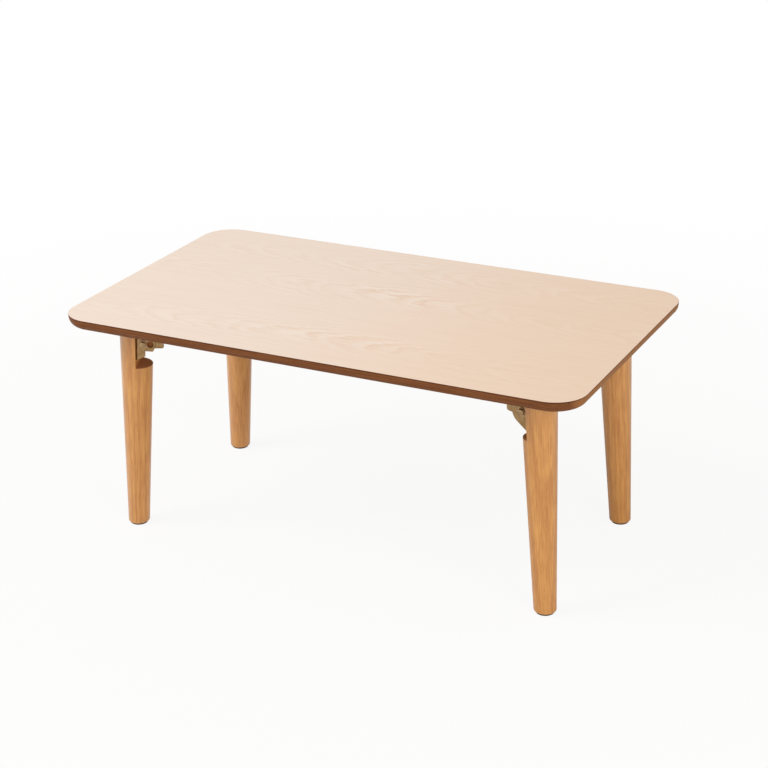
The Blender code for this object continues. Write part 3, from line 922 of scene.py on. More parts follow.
@dataclass(frozen=True)
class PlatedSteel(Finish):
    """Plated steel with cloudy passivation, rubbed bright at its arrises.

    Attributes:
        plate: Main colour.
        stain: Colour of the darker clouds.
        bright: Colour where the plating is rubbed.
        roughness: Least and greatest roughness.
        gloss: Specular level, also of the painted shade, which has no shine.
        rust: Colour of the painted shade: dark brown on the catch hole's wall and on the patch behind it,
            where the recess is in shade.
        recess_shade_roughness: What the painted shade adds to the roughness.
    """

    plate: Tint
    stain: Tint
    bright: Tint
    roughness: tuple = (0.3, 0.45)
    gloss: float = 0.0
    rust: Tint = Tint(148, 94, 58)
    recess_shade_roughness: float = 0.4

    def feeds(self, sheet: NodeSheet) -> dict[str, Feed]:
        """Lay the plating, which reads the arris marks and the painted shade marks that the mesh keeps on its
        points.

        Args:
            sheet: Where the nodes go.

        Returns:
            What feeds the Principled shader's inputs, by their names.
        """
        place = sheet.object_place()
        mottle = sheet.placed(Effect.MOTTLE, Place=place, Scale=180.0)
        wear = sheet.placed(Effect.WEAR, Place=place, Scale=400.0)["Wear"]
        # Painted shade in and behind the catch hole: dark brown, not metallic and rougher.
        recess_shaded = sheet.attribute("rust", "Fac")
        colour = sheet.tint(wear, sheet.tint(mottle["Cloud"], self.plate, self.stain), self.bright)
        bare = sheet.spread(mottle["Grain"], 0.3, 0.7, *self.roughness)
        return {
            "Base Color": sheet.tint(recess_shaded, colour, self.rust),
            "Metallic": sheet.math("SUBTRACT", 1.0, recess_shaded),
            "Roughness": sheet.math("ADD", bare, sheet.product(recess_shaded, self.recess_shade_roughness)),
            "Specular IOR Level": self.gloss,
            "Normal": sheet.bump(mottle["Grain"], strength=0.15, distance=0.1 * MM),
        }


@dataclass(frozen=True)
class PressedFelt(Finish):
    """Dense needled felt.

    Attributes:
        wool: Colour of the raised wool.
        shade: Colour between the wool.
        roughness: Roughness all over.
    """

    wool: Tint = Tint(96, 84, 60)
    shade: Tint = Tint(60, 50, 34)
    roughness: float = 0.95

    def feeds(self, sheet: NodeSheet) -> dict[str, Feed]:
        """Lay the felt.

        Args:
            sheet: Where the nodes go.

        Returns:
            What feeds the Principled shader's inputs, by their names.
        """
        grain = sheet.placed(Effect.MOTTLE, Place=sheet.object_place(), Scale=350.0)["Grain"]
        return {
            "Base Color": sheet.tint(grain, self.shade, self.wool),
            "Roughness": self.roughness,
            "Normal": sheet.bump(grain, strength=0.8, distance=0.4 * MM),
        }


@dataclass
class Tabletop:
    """The face laminate, the core board and the backing paper.

    Attributes:
        finishes: The material of each slot, and the second materials.
        corner_radius: Radius of the top's corners in plan.
        face_ease: Radius of the laminate's upper edge.
        face_margin: Reach of the flat strip beside a rounding.
        face_turn: Elevation of a normal above which the laminate shows its face and not its dark edge.
        round_depth: How far in the core board's lower rounding reaches.
        round_height: How far up it reaches.
        core_ease: Chamfer of the core board's upper edge.
        backing_inset: How far in the backing paper stops.
        corner_steps: Steps round a corner.
        round_steps: Steps round the core board's lower rounding.
        ease_steps: Steps round the laminate's upper edge.
    """

    finishes: Finishes
    corner_radius: float = 41 * MM
    face_ease: float = 0.4 * MM
    face_margin: float = 1.2 * MM
    face_turn: float = math.radians(60)
    round_depth: float = 8.5 * MM
    round_height: float = 11.5 * MM
    core_ease: float = 0.3 * MM
    backing_inset: float = 9.5 * MM
    corner_steps: int = 24
    round_steps: int = 16
    ease_steps: int = 4

    def levels(self, node: str) -> tuple[float, float]:
        """Heights of a layer's lower and upper face."""
        low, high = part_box(node)
        return low.z, high.z

    def slab(self, profile: np.ndarray) -> Skin:
        """Carry a profile round the tabletop's outline and close it to a slab.

        At a corner the point at angle a is corner centre + (corner radius - inset) (cos a, sin a), so every
        ring is a rectangle with round corners, drawn in by its inset.

        Args:
            profile: Inset from the outline and height of each point, listed upwards.

        Returns:
            The closed surface.
        """
        inset, height = profile.T[..., None]
        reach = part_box("tabletop_core")[1]
        centre = (reach.x - self.corner_radius, reach.y - self.corner_radius)
        turn = np.linspace(0, QUARTER, self.corner_steps + 1)
        angle = np.concatenate([turn + i * QUARTER for i in range(4)])
        signs = np.array([(1, 1), (-1, 1), (-1, -1), (1, -1)])
        corner = np.repeat(signs * centre, self.corner_steps + 1, axis=0)
        radius = self.corner_radius - inset
        x = corner[:, 0] + radius * np.cos(angle)
        y = corner[:, 1] + radius * np.sin(angle)
        return skin_of_rings(np.stack([x, y, np.broadcast_to(height, x.shape)], axis=-1))

    def build_face(self) -> None:
        """Make the face laminate, with a dark edge below its pale face."""
        low, high = self.levels("tabletop_laminate")
        centre = (self.face_ease, high - self.face_ease)
        ease = arc(centre, self.face_ease, math.pi, QUARTER, self.ease_steps)
        skin = self.slab(np.vstack([[(0, low)], ease, [(self.face_margin, high)]]))
        name, node = "face_laminate_sheet", "tabletop_laminate"
        laminate = make_piece(name, skin, node, self.finishes, Slot.FACE, Extra.LAMINATE_EDGE)
        give_second_finish(laminate, lambda normal: normal[:, 2] < math.sin(self.face_turn))

    def build_core(self) -> None:
        """Make the core board, whose lower edge is a quarter of an ellipse."""
        low, high = self.levels("tabletop_core")
        inner = [(self.round_depth + self.face_margin, low)]
        quarter = arc((1, 1), 1, -QUARTER, -math.pi, self.round_steps)
        lower = quarter * (self.round_depth, self.round_height) + (0, low)
        upper = [(0, high - self.core_ease), (self.core_ease, high)]
        skin = self.slab(np.vstack([inner, lower, upper]))
        make_piece("core_board", skin, "tabletop_core", self.finishes, Slot.EDGE)

    def build_backing(self) -> None:
        """Make the backing paper."""
        skin = self.slab(np.array([(self.backing_inset, level) for level in self.levels("tabletop_backing")]))
        make_piece("backing_sheet", skin, "tabletop_backing", self.finishes, Slot.BACKING)

    def build(self) -> None:
        """Make the three layers."""
        self.build_face()
        self.build_core()
        self.build_backing()


@dataclass(frozen=True)
class Spot:
    """A round hole in a blank, or a round patch on its outer face.

    Attributes:
        s: Place across the blank.
        t: Place along the blank.
        radius: Its radius.
        recess_shaded: Whether a hole's wall is painted dark as shade.
        columns: Points round it.
    """

    s: float
    t: float
    radius: float
    recess_shaded: bool = False
    columns: int = 32

    def loop(self, radius: float) -> np.ndarray:
        """Points of a circle about the spot."""
        return arc((self.s, self.t), radius, 0, FULL_TURN, self.columns)[:-1]


@dataclass
class PressedChannel:
    """A flat blank of sheet steel that is folded up into a channel.

    The blank lies in (s, t): s runs across the channel from one flange's edge to the other's, t along it.

    Attributes:
        half_width: From the middle of the base to the outer face of a flange.
        bend_radius: Outer radius of the two bends.
        sheet: Thickness of the steel.
        arris: Chamfer along the outline.
        hole_arris: Chamfer round the holes.
        recess_shade_blur: Width over which a patch of painted shade fades out.
    """

    half_width: float
    bend_radius: float = 2.4 * MM
    sheet: float = 1.8 * MM
    arris: float = 0.2 * MM
    hole_arris: float = 0.08 * MM
    recess_shade_blur: float = 0.5 * MM

    @property
    def flat(self) -> float:
        """Where the base ends and a bend begins."""
        return self.half_width - self.bend_radius

    def on_bend(self, angle: np.ndarray) -> np.ndarray:
        """Blank place s of a point that is angle round a bend."""
        return self.flat + self.bend_radius * angle

    def on_flange(self, drop: np.ndarray) -> np.ndarray:
        """Blank place s of a flange point that lies drop below the base's outer face."""
        return self.on_bend(QUARTER) + drop - self.bend_radius

    def drop(self, angle: np.ndarray) -> np.ndarray:
        """How far a point of a bend's outer face lies below the base's outer face."""
        return self.bend_radius * (1 - np.cos(angle))

    def to_side(self, across: np.ndarray, along: np.ndarray, side: Side) -> np.ndarray:
        """Places on the blank, to one side of its middle."""
        return np.stack([side.value * across, along], axis=-1)

    def fold(self, blank: np.ndarray, depth: np.ndarray) -> np.ndarray:
        """Fold the blank up.

        With the bend angle a, from 0 on the base to a quarter turn on a flange, a point at depth d lies
        across at min(|s|, flat) + (bend radius - d) sin a and rises (bend radius - d) cos a - bend radius,
        less its run along the flange.

        Args:
            blank: Places on the blank as (n, 2).
            depth: Depth of each point below the outer face.

        Returns:
            Points as (across, along, rise).
        """
        run = np.abs(blank[:, 0])
        angle = np.clip((run - self.flat) / self.bend_radius, 0, QUARTER)
        flange = np.clip(run - self.on_bend(QUARTER), 0, None)
        radius = self.bend_radius - depth
        across = np.sign(blank[:, 0]) * (np.minimum(run, self.flat) + radius * np.sin(angle))
        return np.stack([across, blank[:, 1], radius * np.cos(angle) - self.bend_radius - flange], axis=-1)

    def rim(self, loop: np.ndarray, step: np.ndarray) -> tuple[np.ndarray, np.ndarray]:
        """Four rings that carry the sheet's edge along a loop.

        The edge is a straight wall with a chamfer at each face: loop + step on the outer face, loop at one
        chamfer's depth, loop at the other's, and loop + step on the inner face.

        Args:
            loop: Places on the blank as (n, 2).
            step: The chamfer's step away from the edge at each place.

        Returns:
            The blank places and the depths of the four rings.
        """
        chamfer = np.abs(step).max()
        depths = np.array([0, chamfer, self.sheet - chamfer, self.sheet])
        blank = np.concatenate([loop + step, loop, loop, loop + step])
        return blank, np.repeat(depths, len(loop))

    def skin(self, outline: np.ndarray, holes: list[Spot], bends: np.ndarray, patches: tuple = ()) -> Skin:
        """The folded sheet as one closed surface.

        Args:
            outline: The blank's outline, anticlockwise, with a point on each edge at every bend line.
            holes: The round holes.
            bends: Angles of the bend lines, from 0 to a quarter turn.
            patches: Spots of painted shade on the outer face.

        Returns:
            The surface as (across, along, rise), with the arrises and the painted shade marked.
        """
        # On the bends the outline's chamfer runs along the channel, so that the bend lines stay straight.
        step = drawn_in(outline)
        run = np.abs(outline[:, 0])
        bent = (run > self.flat - WELD) & (run < self.on_bend(QUARTER) + WELD)
        step[bent] = np.stack([np.zeros(bent.sum()), np.sign(step[bent, 1])], axis=-1)

        # Each loop has four rings through the sheet, and each patch two rings on its outer face.
        loops = [outline] + [hole.loop(hole.radius) for hole in holes]
        rims = [self.rim(outline, step * self.arris)]
        for hole, loop in zip(holes, loops[1:]):
            rims.append(self.rim(loop, (loop - (hole.s, hole.t)) / hole.radius * self.hole_arris))
        for patch in patches:
            rings = [patch.loop(patch.radius), patch.loop(patch.radius - self.recess_shade_blur)]
            rims.append((np.concatenate(rings), np.zeros(2 * len(rings[0]))))
        starts = np.cumsum([0] + [len(places) for places, _ in rims])
        blank = np.concatenate([places for places, _ in rims])
        depth = np.concatenate([depths for _, depths in rims])

        # Walls of the loops, and the patches with their blurred borders.
        faces = []
        for start, loop in zip(starts, loops):
            faces += (start + ring_faces(4, len(loop))).tolist()
        for start, end in zip(starts[len(loops) :], starts[len(loops) + 1 :]):
            columns = (end - start) // 2
            faces += (start + ring_faces(2, columns)).tolist() + [np.arange(start + columns, end).tolist()]

        # Both faces of the sheet, filled strip by strip between the bend lines. A rim's first ring lies on
        # the outer face and its last one on the inner face.
        lines = self.on_bend(bends)
        edges = np.concatenate([[-np.inf], -lines[::-1], lines, [np.inf]])
        for ring, spots in ((0, [*holes, *patches]), (3, holes)):
            for low, high in zip(edges, edges[1:]):
                inside = np.flatnonzero((outline[:, 0] > low - WELD) & (outline[:, 0] < high + WELD))
                borders = [inside + ring * len(outline)]
                for spot, start in zip(spots, starts[1:]):
                    if low < spot.s < high:
                        borders.append(start + ring * spot.columns + np.arange(spot.columns))
                faces += self.filled(blank, borders)

        arrises = [np.repeat([0, 1, 1, 0], len(loop)) for loop in loops]
        arrises += [np.zeros(len(places)) for places, _ in rims[len(loops) :]]
        # Painted shade: the catch hole's wall and the patches are marked to be coloured dark.
        rust = [np.zeros(4 * len(outline))]
        rust += [np.repeat([0, 1, 1, 1], hole.columns) * hole.recess_shaded for hole in holes]
        rust += [np.repeat([0, 1], patch.columns) for patch in patches]
        marks = {"arris": np.concatenate(arrises), "rust": np.concatenate(rust)}
        return Skin(self.fold(blank, depth), faces, marks)

    def filled(self, blank: np.ndarray, borders: list[np.ndarray]) -> list[list[int]]:
        """Faces that fill a border and leave the holes inside it open.

        Args:
            blank: All places on the blank.
            borders: Point numbers of the border and of each hole in it.

        Returns:
            One quad, or the triangles that fill the border.
        """
        if len(borders) == 1 and len(borders[0]) == 4:
            return [borders[0].tolist()]
        numbers = np.concatenate(borders)
        triangles = tessellate_polygon([blank[border].tolist() for border in borders])
        return numbers[np.array(triangles)].tolist()


@dataclass
class LegBracket:
    """The channel on a leg's flat: a web, a plain round ear and a stepped ear with its catch hole.

    Heights are above the pivot pin, and reaches are inboard of it, in the leg frame.
    """

    web_outer_x: float = -8.9 * MM
    boss_radius: float = 16.2 * MM
    web_below_pivot: float = 23 * MM
    lobe_below_pivot: float = 9.6 * MM
    step_from_pivot: float = 3.2 * MM
    step_below_pivot: float = 16.8 * MM
    skirt_from_pivot: float = -4.7 * MM
    skirt_below_pivot: float = 21.2 * MM
    catch_reach: float = 9.8 * MM
    catch_radius: float = 4.4 * MM
    pin_hole_radius: float = 2.9 * MM
    screw_hole_radius: float = 2.1 * MM
    screw_heights: tuple = (-15 * MM, 9.5 * MM)
    half_width: float = 18.4 * MM
    bend_lines: int = 7

    def skin(self) -> Skin:
        """The bracket's surface.

        Returns:
            The surface in the leg frame.
        """
        channel = PressedChannel(self.half_width)
        bends = np.linspace(0, QUARTER, self.bend_lines)
        bend_x = self.web_outer_x + channel.drop(bends)
        toe = np.array([self.web_outer_x + channel.sheet, -self.web_below_pivot])
        tangent = math.atan2(toe[1], toe[0]) + math.acos(self.boss_radius / np.linalg.norm(toe))
        touch = self.boss_radius * np.array([math.cos(tangent), math.sin(tangent)])
        slope = (touch[1] - toe[1]) / (touch[0] - toe[0])
        toe_edge = np.maximum(-self.web_below_pivot, toe[1] + slope * (bend_x - toe[0]))
        top_edge = np.full(len(bends), self.boss_radius)

        lobe = math.asin(self.lobe_below_pivot / self.boss_radius)
        steps = [
            (self.step_from_pivot, -self.lobe_below_pivot),
            (self.step_from_pivot, -self.step_below_pivot),
            (self.skirt_from_pivot, -self.skirt_below_pivot),
        ]
        catch_ear = np.vstack([arc((0, 0), self.boss_radius, 0, -lobe, steps=12), steps])
        plain_ear = arc((0, 0), self.boss_radius, tangent, 0, steps=24)
        ear_top = arc((0, 0), self.boss_radius, 0, QUARTER, steps=32)[1:]

        def ear(points: np.ndarray, side: Side) -> np.ndarray:
            """Side view points of an ear as places on the blank."""
            return channel.to_side(channel.on_flange(points[:, 0] - self.web_outer_x), points[:, 1], side)

        def bend(edge: np.ndarray, side: Side) -> np.ndarray:
            """Edge heights at the bend lines as places on the blank, from the web outwards."""
            return channel.to_side(channel.on_bend(bends), edge, side)

        outline = np.vstack(
            [
                ear(catch_ear, Side.CATCH),
                bend(toe_edge, Side.CATCH)[::-1],
                bend(toe_edge, Side.PLAIN),
                ear(plain_ear, Side.PLAIN),
                ear(ear_top, Side.PLAIN),
                bend(top_edge, Side.PLAIN)[::-1],
                bend(top_edge, Side.CATCH),
                ear(ear_top[::-1], Side.CATCH),
            ]
        )
        pivot_s = channel.on_flange(-self.web_outer_x)
        holes = [Spot(side.value * pivot_s, 0, self.pin_hole_radius) for side in Side]
        catch_s = Side.CATCH.value * (pivot_s + self.catch_reach)
        # The catch hole's wall is painted dark as shade.
        holes.append(Spot(catch_s, 0, self.catch_radius, recess_shaded=True))
        holes += [Spot(0, height, self.screw_hole_radius) for height in self.screw_heights]
        axes = np.eye(4)
        axes[:3] = [(0, 0, -1, self.web_outer_x), (1, 0, 0, 0), (0, 1, 0, 0)]
        return channel.skin(outline, holes, bends).carried(axes)


@dataclass
class TableBracket:
    """The channel under the top: two ears that take the pin, and a tongue for screws.

    Heights are above the pivot pin, and reaches are inboard of it, in the hinge frame.
    """

    plate_top: float = 29.2 * MM
    half_width: float = 16.2 * MM
    swing_radius: float = 6.6 * MM
    heel: float = 4.5 * MM
    ear_reach: float = 26.8 * MM
    ear_corner: float = 3 * MM
    tongue_reach: float = 46 * MM
    tongue_corner: float = 6 * MM
    lip_drop: float = 2.2 * MM
    lip_step: float = math.radians(1)
    lip_lines: int = 6
    catch_reach: float = 9.8 * MM
    recess_shade_radius: float = 5.6 * MM
    pin_hole_radius: float = 2.9 * MM
    screw_hole_radius: float = 2.1 * MM
    screw_rows: tuple = (14 * MM, 38 * MM)
    screw_half_pitch: float = 8 * MM

    @property
    def screw_places(self) -> list[tuple[float, float]]:
        """Reach and y of each screw."""
        return [(row, side.value * self.screw_half_pitch) for row in self.screw_rows for side in Side]

    def skin(self, splay: float) -> Skin:
        """The bracket's surface.

        Args:
            splay: Lean of the leg, which the patch of painted shade behind the catch hole follows.

        Returns:
            The surface in the hinge frame.
        """
        channel = PressedChannel(self.half_width)
        lip = math.acos(1 - self.lip_drop / channel.bend_radius)
        bends = np.concatenate([np.linspace(0, lip, self.lip_lines), [lip + self.lip_step, QUARTER]])
        bend_y = channel.flat + channel.bend_radius * np.sin(bends)
        corner_x = self.tongue_reach - self.tongue_corner
        corner_y = self.half_width - self.tongue_corner
        round_x = np.sqrt(np.clip(self.tongue_corner**2 - (bend_y - corner_y) ** 2, 0, None))
        tongue_edge = np.where(bends > lip + WELD, self.ear_reach, corner_x + round_x)
        heel_edge = np.full(len(bends), -self.heel)

        heel_angle = math.pi - math.acos(self.heel / self.swing_radius)
        heel_round = arc((0, 0), self.swing_radius, heel_angle, 3 * QUARTER, steps=16)
        toe = (self.ear_reach - self.ear_corner, self.ear_corner - self.swing_radius)
        toe_round = arc(toe, self.ear_corner, -QUARTER, 0, steps=8)
        tongue_start = math.asin((channel.flat - corner_y) / self.tongue_corner)
        tongue_round = arc((corner_x, corner_y), self.tongue_corner, tongue_start, 0, steps=8)[1:]

        def ear(points: np.ndarray, side: Side) -> np.ndarray:
            """Side view points of an ear as places on the blank."""
            return channel.to_side(channel.on_flange(self.plate_top - points[:, 1]), points[:, 0], side)

        def bend(edge: np.ndarray, side: Side) -> np.ndarray:
            """Edge reaches at the bend lines as places on the blank, from the plate outwards."""
            return channel.to_side(channel.on_bend(bends), edge, side)

        def tongue(points: np.ndarray, side: Side) -> np.ndarray:
            """Plan points of the tongue's corner as places on the blank."""
            return channel.to_side(points[:, 1], points[:, 0], side)

        outline = np.vstack(
            [
                ear(heel_round[::-1], Side.CATCH),
                bend(heel_edge, Side.CATCH)[::-1],
                bend(heel_edge, Side.PLAIN),
                ear(heel_round, Side.PLAIN),
                ear(toe_round, Side.PLAIN),
                bend(tongue_edge, Side.PLAIN)[::-1],
                tongue(tongue_round, Side.PLAIN),
                tongue(tongue_round[::-1], Side.CATCH),
                bend(tongue_edge, Side.CATCH),
                ear(toe_round[::-1], Side.CATCH),
            ]
        )
        pivot_s = channel.on_flange(self.plate_top)
        holes = [Spot(side.value * pivot_s, 0, self.pin_hole_radius) for side in Side]
        holes += [Spot(y, reach, self.screw_hole_radius) for reach, y in self.screw_places]
        # A patch of painted shade on the ear behind the leg bracket's catch hole.
        catch_s = Side.CATCH.value * (pivot_s + self.catch_reach * math.sin(splay))
        patch = Spot(catch_s, self.catch_reach * math.cos(splay), self.recess_shade_radius)
        axes = np.eye(4)
        axes[:3] = [(0, 1, 0, 0), (1, 0, 0, 0), (0, 0, 1, self.plate_top)]
        return channel.skin(outline, holes, bends, (patch,)).carried(axes)


@dataclass
class Leg:
    """A tapered leg, leaned by a shear so that its ends stay level, with a flat and a ledge for its bracket.

    Attributes:
        head: Height of its upper end in the hinge frame.
        foot: Height of its lower end.
        splay: Its lean.
        number: The leg's number, which picks its own stretch of wood.
        head_radius: Radius at the head.
        foot_radius: Radius above the foot's rounding.
        foot_round: Radius of the foot's rounding.
        flat_from_axis: From the leg's axis to its flat.
        pivot_from_axis: From the leg's axis to the pivot pin.
        ledge_below_pivot: From the pivot pin down to the ledge.
        chord_columns: Columns along the flat.
        round_columns: Columns along the rest of the round.
        foot_rows: Rings of the foot's rounding.
        ledge_repeats: How often the ledge's heights are worked out again.
        piths: Where the leg's axis stands from the pith of each leg's wood.
        wood_step: How far apart along the grain the legs' wood is read.
    """

    head: float
    foot: float
    splay: float
    number: int
    head_radius: float = 22.4 * MM
    foot_radius: float = 14.2 * MM
    foot_round: float = 2.5 * MM
    flat_from_axis: float = 2 * MM
    pivot_from_axis: float = 11.2 * MM
    ledge_below_pivot: float = 34 * MM
    chord_columns: int = 24
    round_columns: int = 72
    foot_rows: int = 7
    ledge_repeats: int = 12
    piths: tuple = ((0.010, 0.012), (-0.014, 0.009), (0.016, -0.011), (-0.009, -0.015))
    wood_step: float = 0.7

    @property
    def columns(self) -> int:
        """Points in each ring."""
        return self.chord_columns + self.round_columns

    @property
    def flat(self) -> float:
        """From the leg's axis to its flat, level across."""
        return self.flat_from_axis / math.cos(self.splay)

    def axis_x(self, height: np.ndarray) -> np.ndarray:
        """Where the leg's axis stands at a height."""
        return height * math.tan(self.splay) - self.pivot_from_axis / math.cos(self.splay)

    def radius(self, height: np.ndarray) -> np.ndarray:
        """The leg's radius at a height: a straight taper, then a quarter round at the foot.

        Args:
            height: Heights in the hinge frame.

        Returns:
            The radius at each height.
        """
        start = self.foot + self.foot_round
        share = np.clip((height - start) / (self.head - start), 0, 1)
        below = np.clip(start - height, 0, self.foot_round)
        tuck = self.foot_round - np.sqrt(self.foot_round**2 - below**2)
        return self.foot_radius + share * (self.head_radius - self.foot_radius) - tuck

    def level(self, height: np.ndarray, cut: bool, edge: float = 0.0) -> np.ndarray:
        """One ring round the leg.

        The point at angle a is (axis + r cos a, r sin a, height). The chord columns run from -edge to edge.
        On a cut ring edge is arccos(flat / r) and the chord columns lie straight along the flat.

        Args:
            height: Height of each column's point.
            cut: Whether the ring lies on the flat's part of the leg.
            edge: The chord columns' half angle where the ring isn't cut.

        Returns:
            Points as (columns, 3).
        """
        radius = self.radius(height)
        half = np.arccos(self.flat / radius) if cut else np.full(len(height), edge)
        count = self.chord_columns
        chord = np.linspace(-1, 1, count, endpoint=False)
        turn = np.linspace(0, 1, self.round_columns, endpoint=False)
        angle = np.concatenate([half[:count] * chord, half[count:] + (FULL_TURN - 2 * half[count:]) * turn])
        x, y = radius * np.cos(angle), radius * np.sin(angle)
        if cut:
            x[:count] = self.flat
            y[:count] = chord * np.sqrt(radius[:count] ** 2 - self.flat**2)
        return np.stack([self.axis_x(height) + x, y, height], axis=-1)

    def ledge_level(self, cut: bool, edge: float = 0.0) -> np.ndarray:
        """The ring along the ledge, which is square to the leaning flat.

        Each height is found by repeating height = -(ledge + x sin splay) / cos splay.

        Args:
            cut: Whether the ring's chord lies along the flat.
            edge: The chord columns' half angle where it doesn't.

        Returns:
            Points as (columns, 3).
        """
        height = np.full(self.columns, -self.ledge_below_pivot)
        for _ in range(self.ledge_repeats):
            x = self.level(height, cut, edge)[:, 0]
            height = -(self.ledge_below_pivot + x * math.sin(self.splay)) / math.cos(self.splay)
        return self.level(height, cut, edge)

    def skin(self) -> Skin:
        """The leg's surface, with the place of each point in its own piece of wood.

        Returns:
            The surface in the hinge frame.
        """
        ledge_cut = self.ledge_level(True)
        edge = math.acos(self.flat / float(self.radius(ledge_cut[:1, 2])[0]))
        tuck = np.linspace(QUARTER, 0, self.foot_rows)
        heights = self.foot + self.foot_round * (1 - np.sin(tuck))
        rings = [self.level(np.full(self.columns, height), False, edge) for height in heights]
        rings += [self.ledge_level(False, edge), ledge_cut]
        rings.append(self.level(np.full(self.columns, self.head), True))
        skin = skin_of_rings(np.stack(rings))
        x, y, z = skin.points.T
        pith_x, pith_y = self.piths[self.number]
        along = z + self.wood_step * self.number
        skin.values["grain_place"] = np.stack([along, x - self.axis_x(z) + pith_x, y + pith_y], axis=-1)
        return skin


@dataclass
class Screw:
    """A cross recessed pan head screw that points up, with its head's bearing face at height 0.

    Attributes:
        length: From the bearing face to the tip.
        core_radius: Radius between the threads.
        thread_radius: Radius over the threads.
        pitch: Spacing of the threads.
        rows_per_pitch: Rings in one pitch.
        thread_start: Where the threads start and are full, from the bearing face.
        tip: Length of the point.
        tip_gap: From the last ring to the tip.
        head_radius: Radius of the head.
        head_height: Height of the head.
        head_rim: Height of the head at its rim.
        head_ease: Chamfer under the rim.
        head_rows: Rings of the crown.
        recess_reach: Half length of the cross recess.
        recess_half_width: Half width of its slots.
        recess_depth: Its depth.
        recess_blur: Half width of the slope of its walls.
        columns: Points in each ring.
    """

    length: float
    core_radius: float = 1.3 * MM
    thread_radius: float = 1.8 * MM
    pitch: float = 1.3 * MM
    rows_per_pitch: int = 8
    thread_start: tuple = (0.4 * MM, 1.2 * MM)
    tip: float = 2.6 * MM
    tip_gap: float = 0.1 * MM
    head_radius: float = 3.5 * MM
    head_height: float = 2.2 * MM
    head_rim: float = 0.9 * MM
    head_ease: float = 0.15 * MM
    head_rows: int = 24
    recess_reach: float = 2.1 * MM
    recess_half_width: float = 0.55 * MM
    recess_depth: float = 1.2 * MM
    recess_blur: float = 0.12 * MM
    columns: int = 48

    def recess(self, x: np.ndarray, y: np.ndarray) -> np.ndarray:
        """Depth of the cross recess: two crossed slots with a smooth step at their sides and ends.

        Args:
            x: Places across the head.
            y: Places along the head.

        Returns:
            The depth at each place.
        """
        half, reach, blur = self.recess_half_width, self.recess_reach, self.recess_blur
        slots = [
            (1 - smooth_step(np.abs(a), half - blur, half + blur))
            * (1 - smooth_step(np.abs(b), reach - 4 * blur, reach + blur))
            for a, b in ((x, y), (y, x))
        ]
        return self.recess_depth * np.maximum(*slots)

    def head(self) -> np.ndarray:
        """Rings of the head, from the crown to the bearing face.

        The crown's height is -(rim + (height - rim) sqrt(1 - (r / R)^4)), lifted by the recess.

        Returns:
            Points as (rows, columns, 3).
        """
        share = np.sin(np.linspace(0, QUARTER, self.head_rows + 1))[1:, None]
        crown = self.head_rim + (self.head_height - self.head_rim) * np.sqrt(1 - share**4)
        dome = rings_about_z(self.head_radius * share, -crown, self.columns)
        dome[..., 2] += self.recess(dome[..., 0], dome[..., 1])
        rim_radius = np.array([[self.head_radius], [self.head_radius - self.head_ease]])
        rim_height = np.array([[-self.head_ease], [0]])
        return np.concatenate([dome, rings_about_z(rim_radius, rim_height, self.columns)])

    def shank(self) -> np.ndarray:
        """Rings of the threaded shank, from the bearing face to near the tip.

        With w the fraction of height / pitch - a / 2 pi, the radius is core + (thread - core) times the
        ridge 1 - |2 w - 1| to the power 3, and the last stretch tapers to the point.

        Returns:
            Points as (rows, columns, 3).
        """
        rows = int(self.length / self.pitch * self.rows_per_pitch)
        height = np.linspace(0, self.length - self.tip_gap, rows)[:, None]
        wave = np.mod(height / self.pitch - round_angles(self.columns) / FULL_TURN, 1)
        ridge = (1 - np.abs(2 * wave - 1)) ** 3 * smooth_step(height, *self.thread_start)
        taper = np.clip((self.length - height) / self.tip, 0, 1)
        radius = (self.core_radius + (self.thread_radius - self.core_radius) * ridge) * taper
        return rings_about_z(radius, height, self.columns)

    def skin(self) -> Skin:
        """The whole screw as one closed surface.

        Returns:
            The surface.
        """
        rings = np.concatenate([self.head(), self.shank()])
        crown = np.array([0, 0, self.recess_depth - self.head_height])
        return skin_of_rings(rings, crown, np.array([0, 0, self.length]))


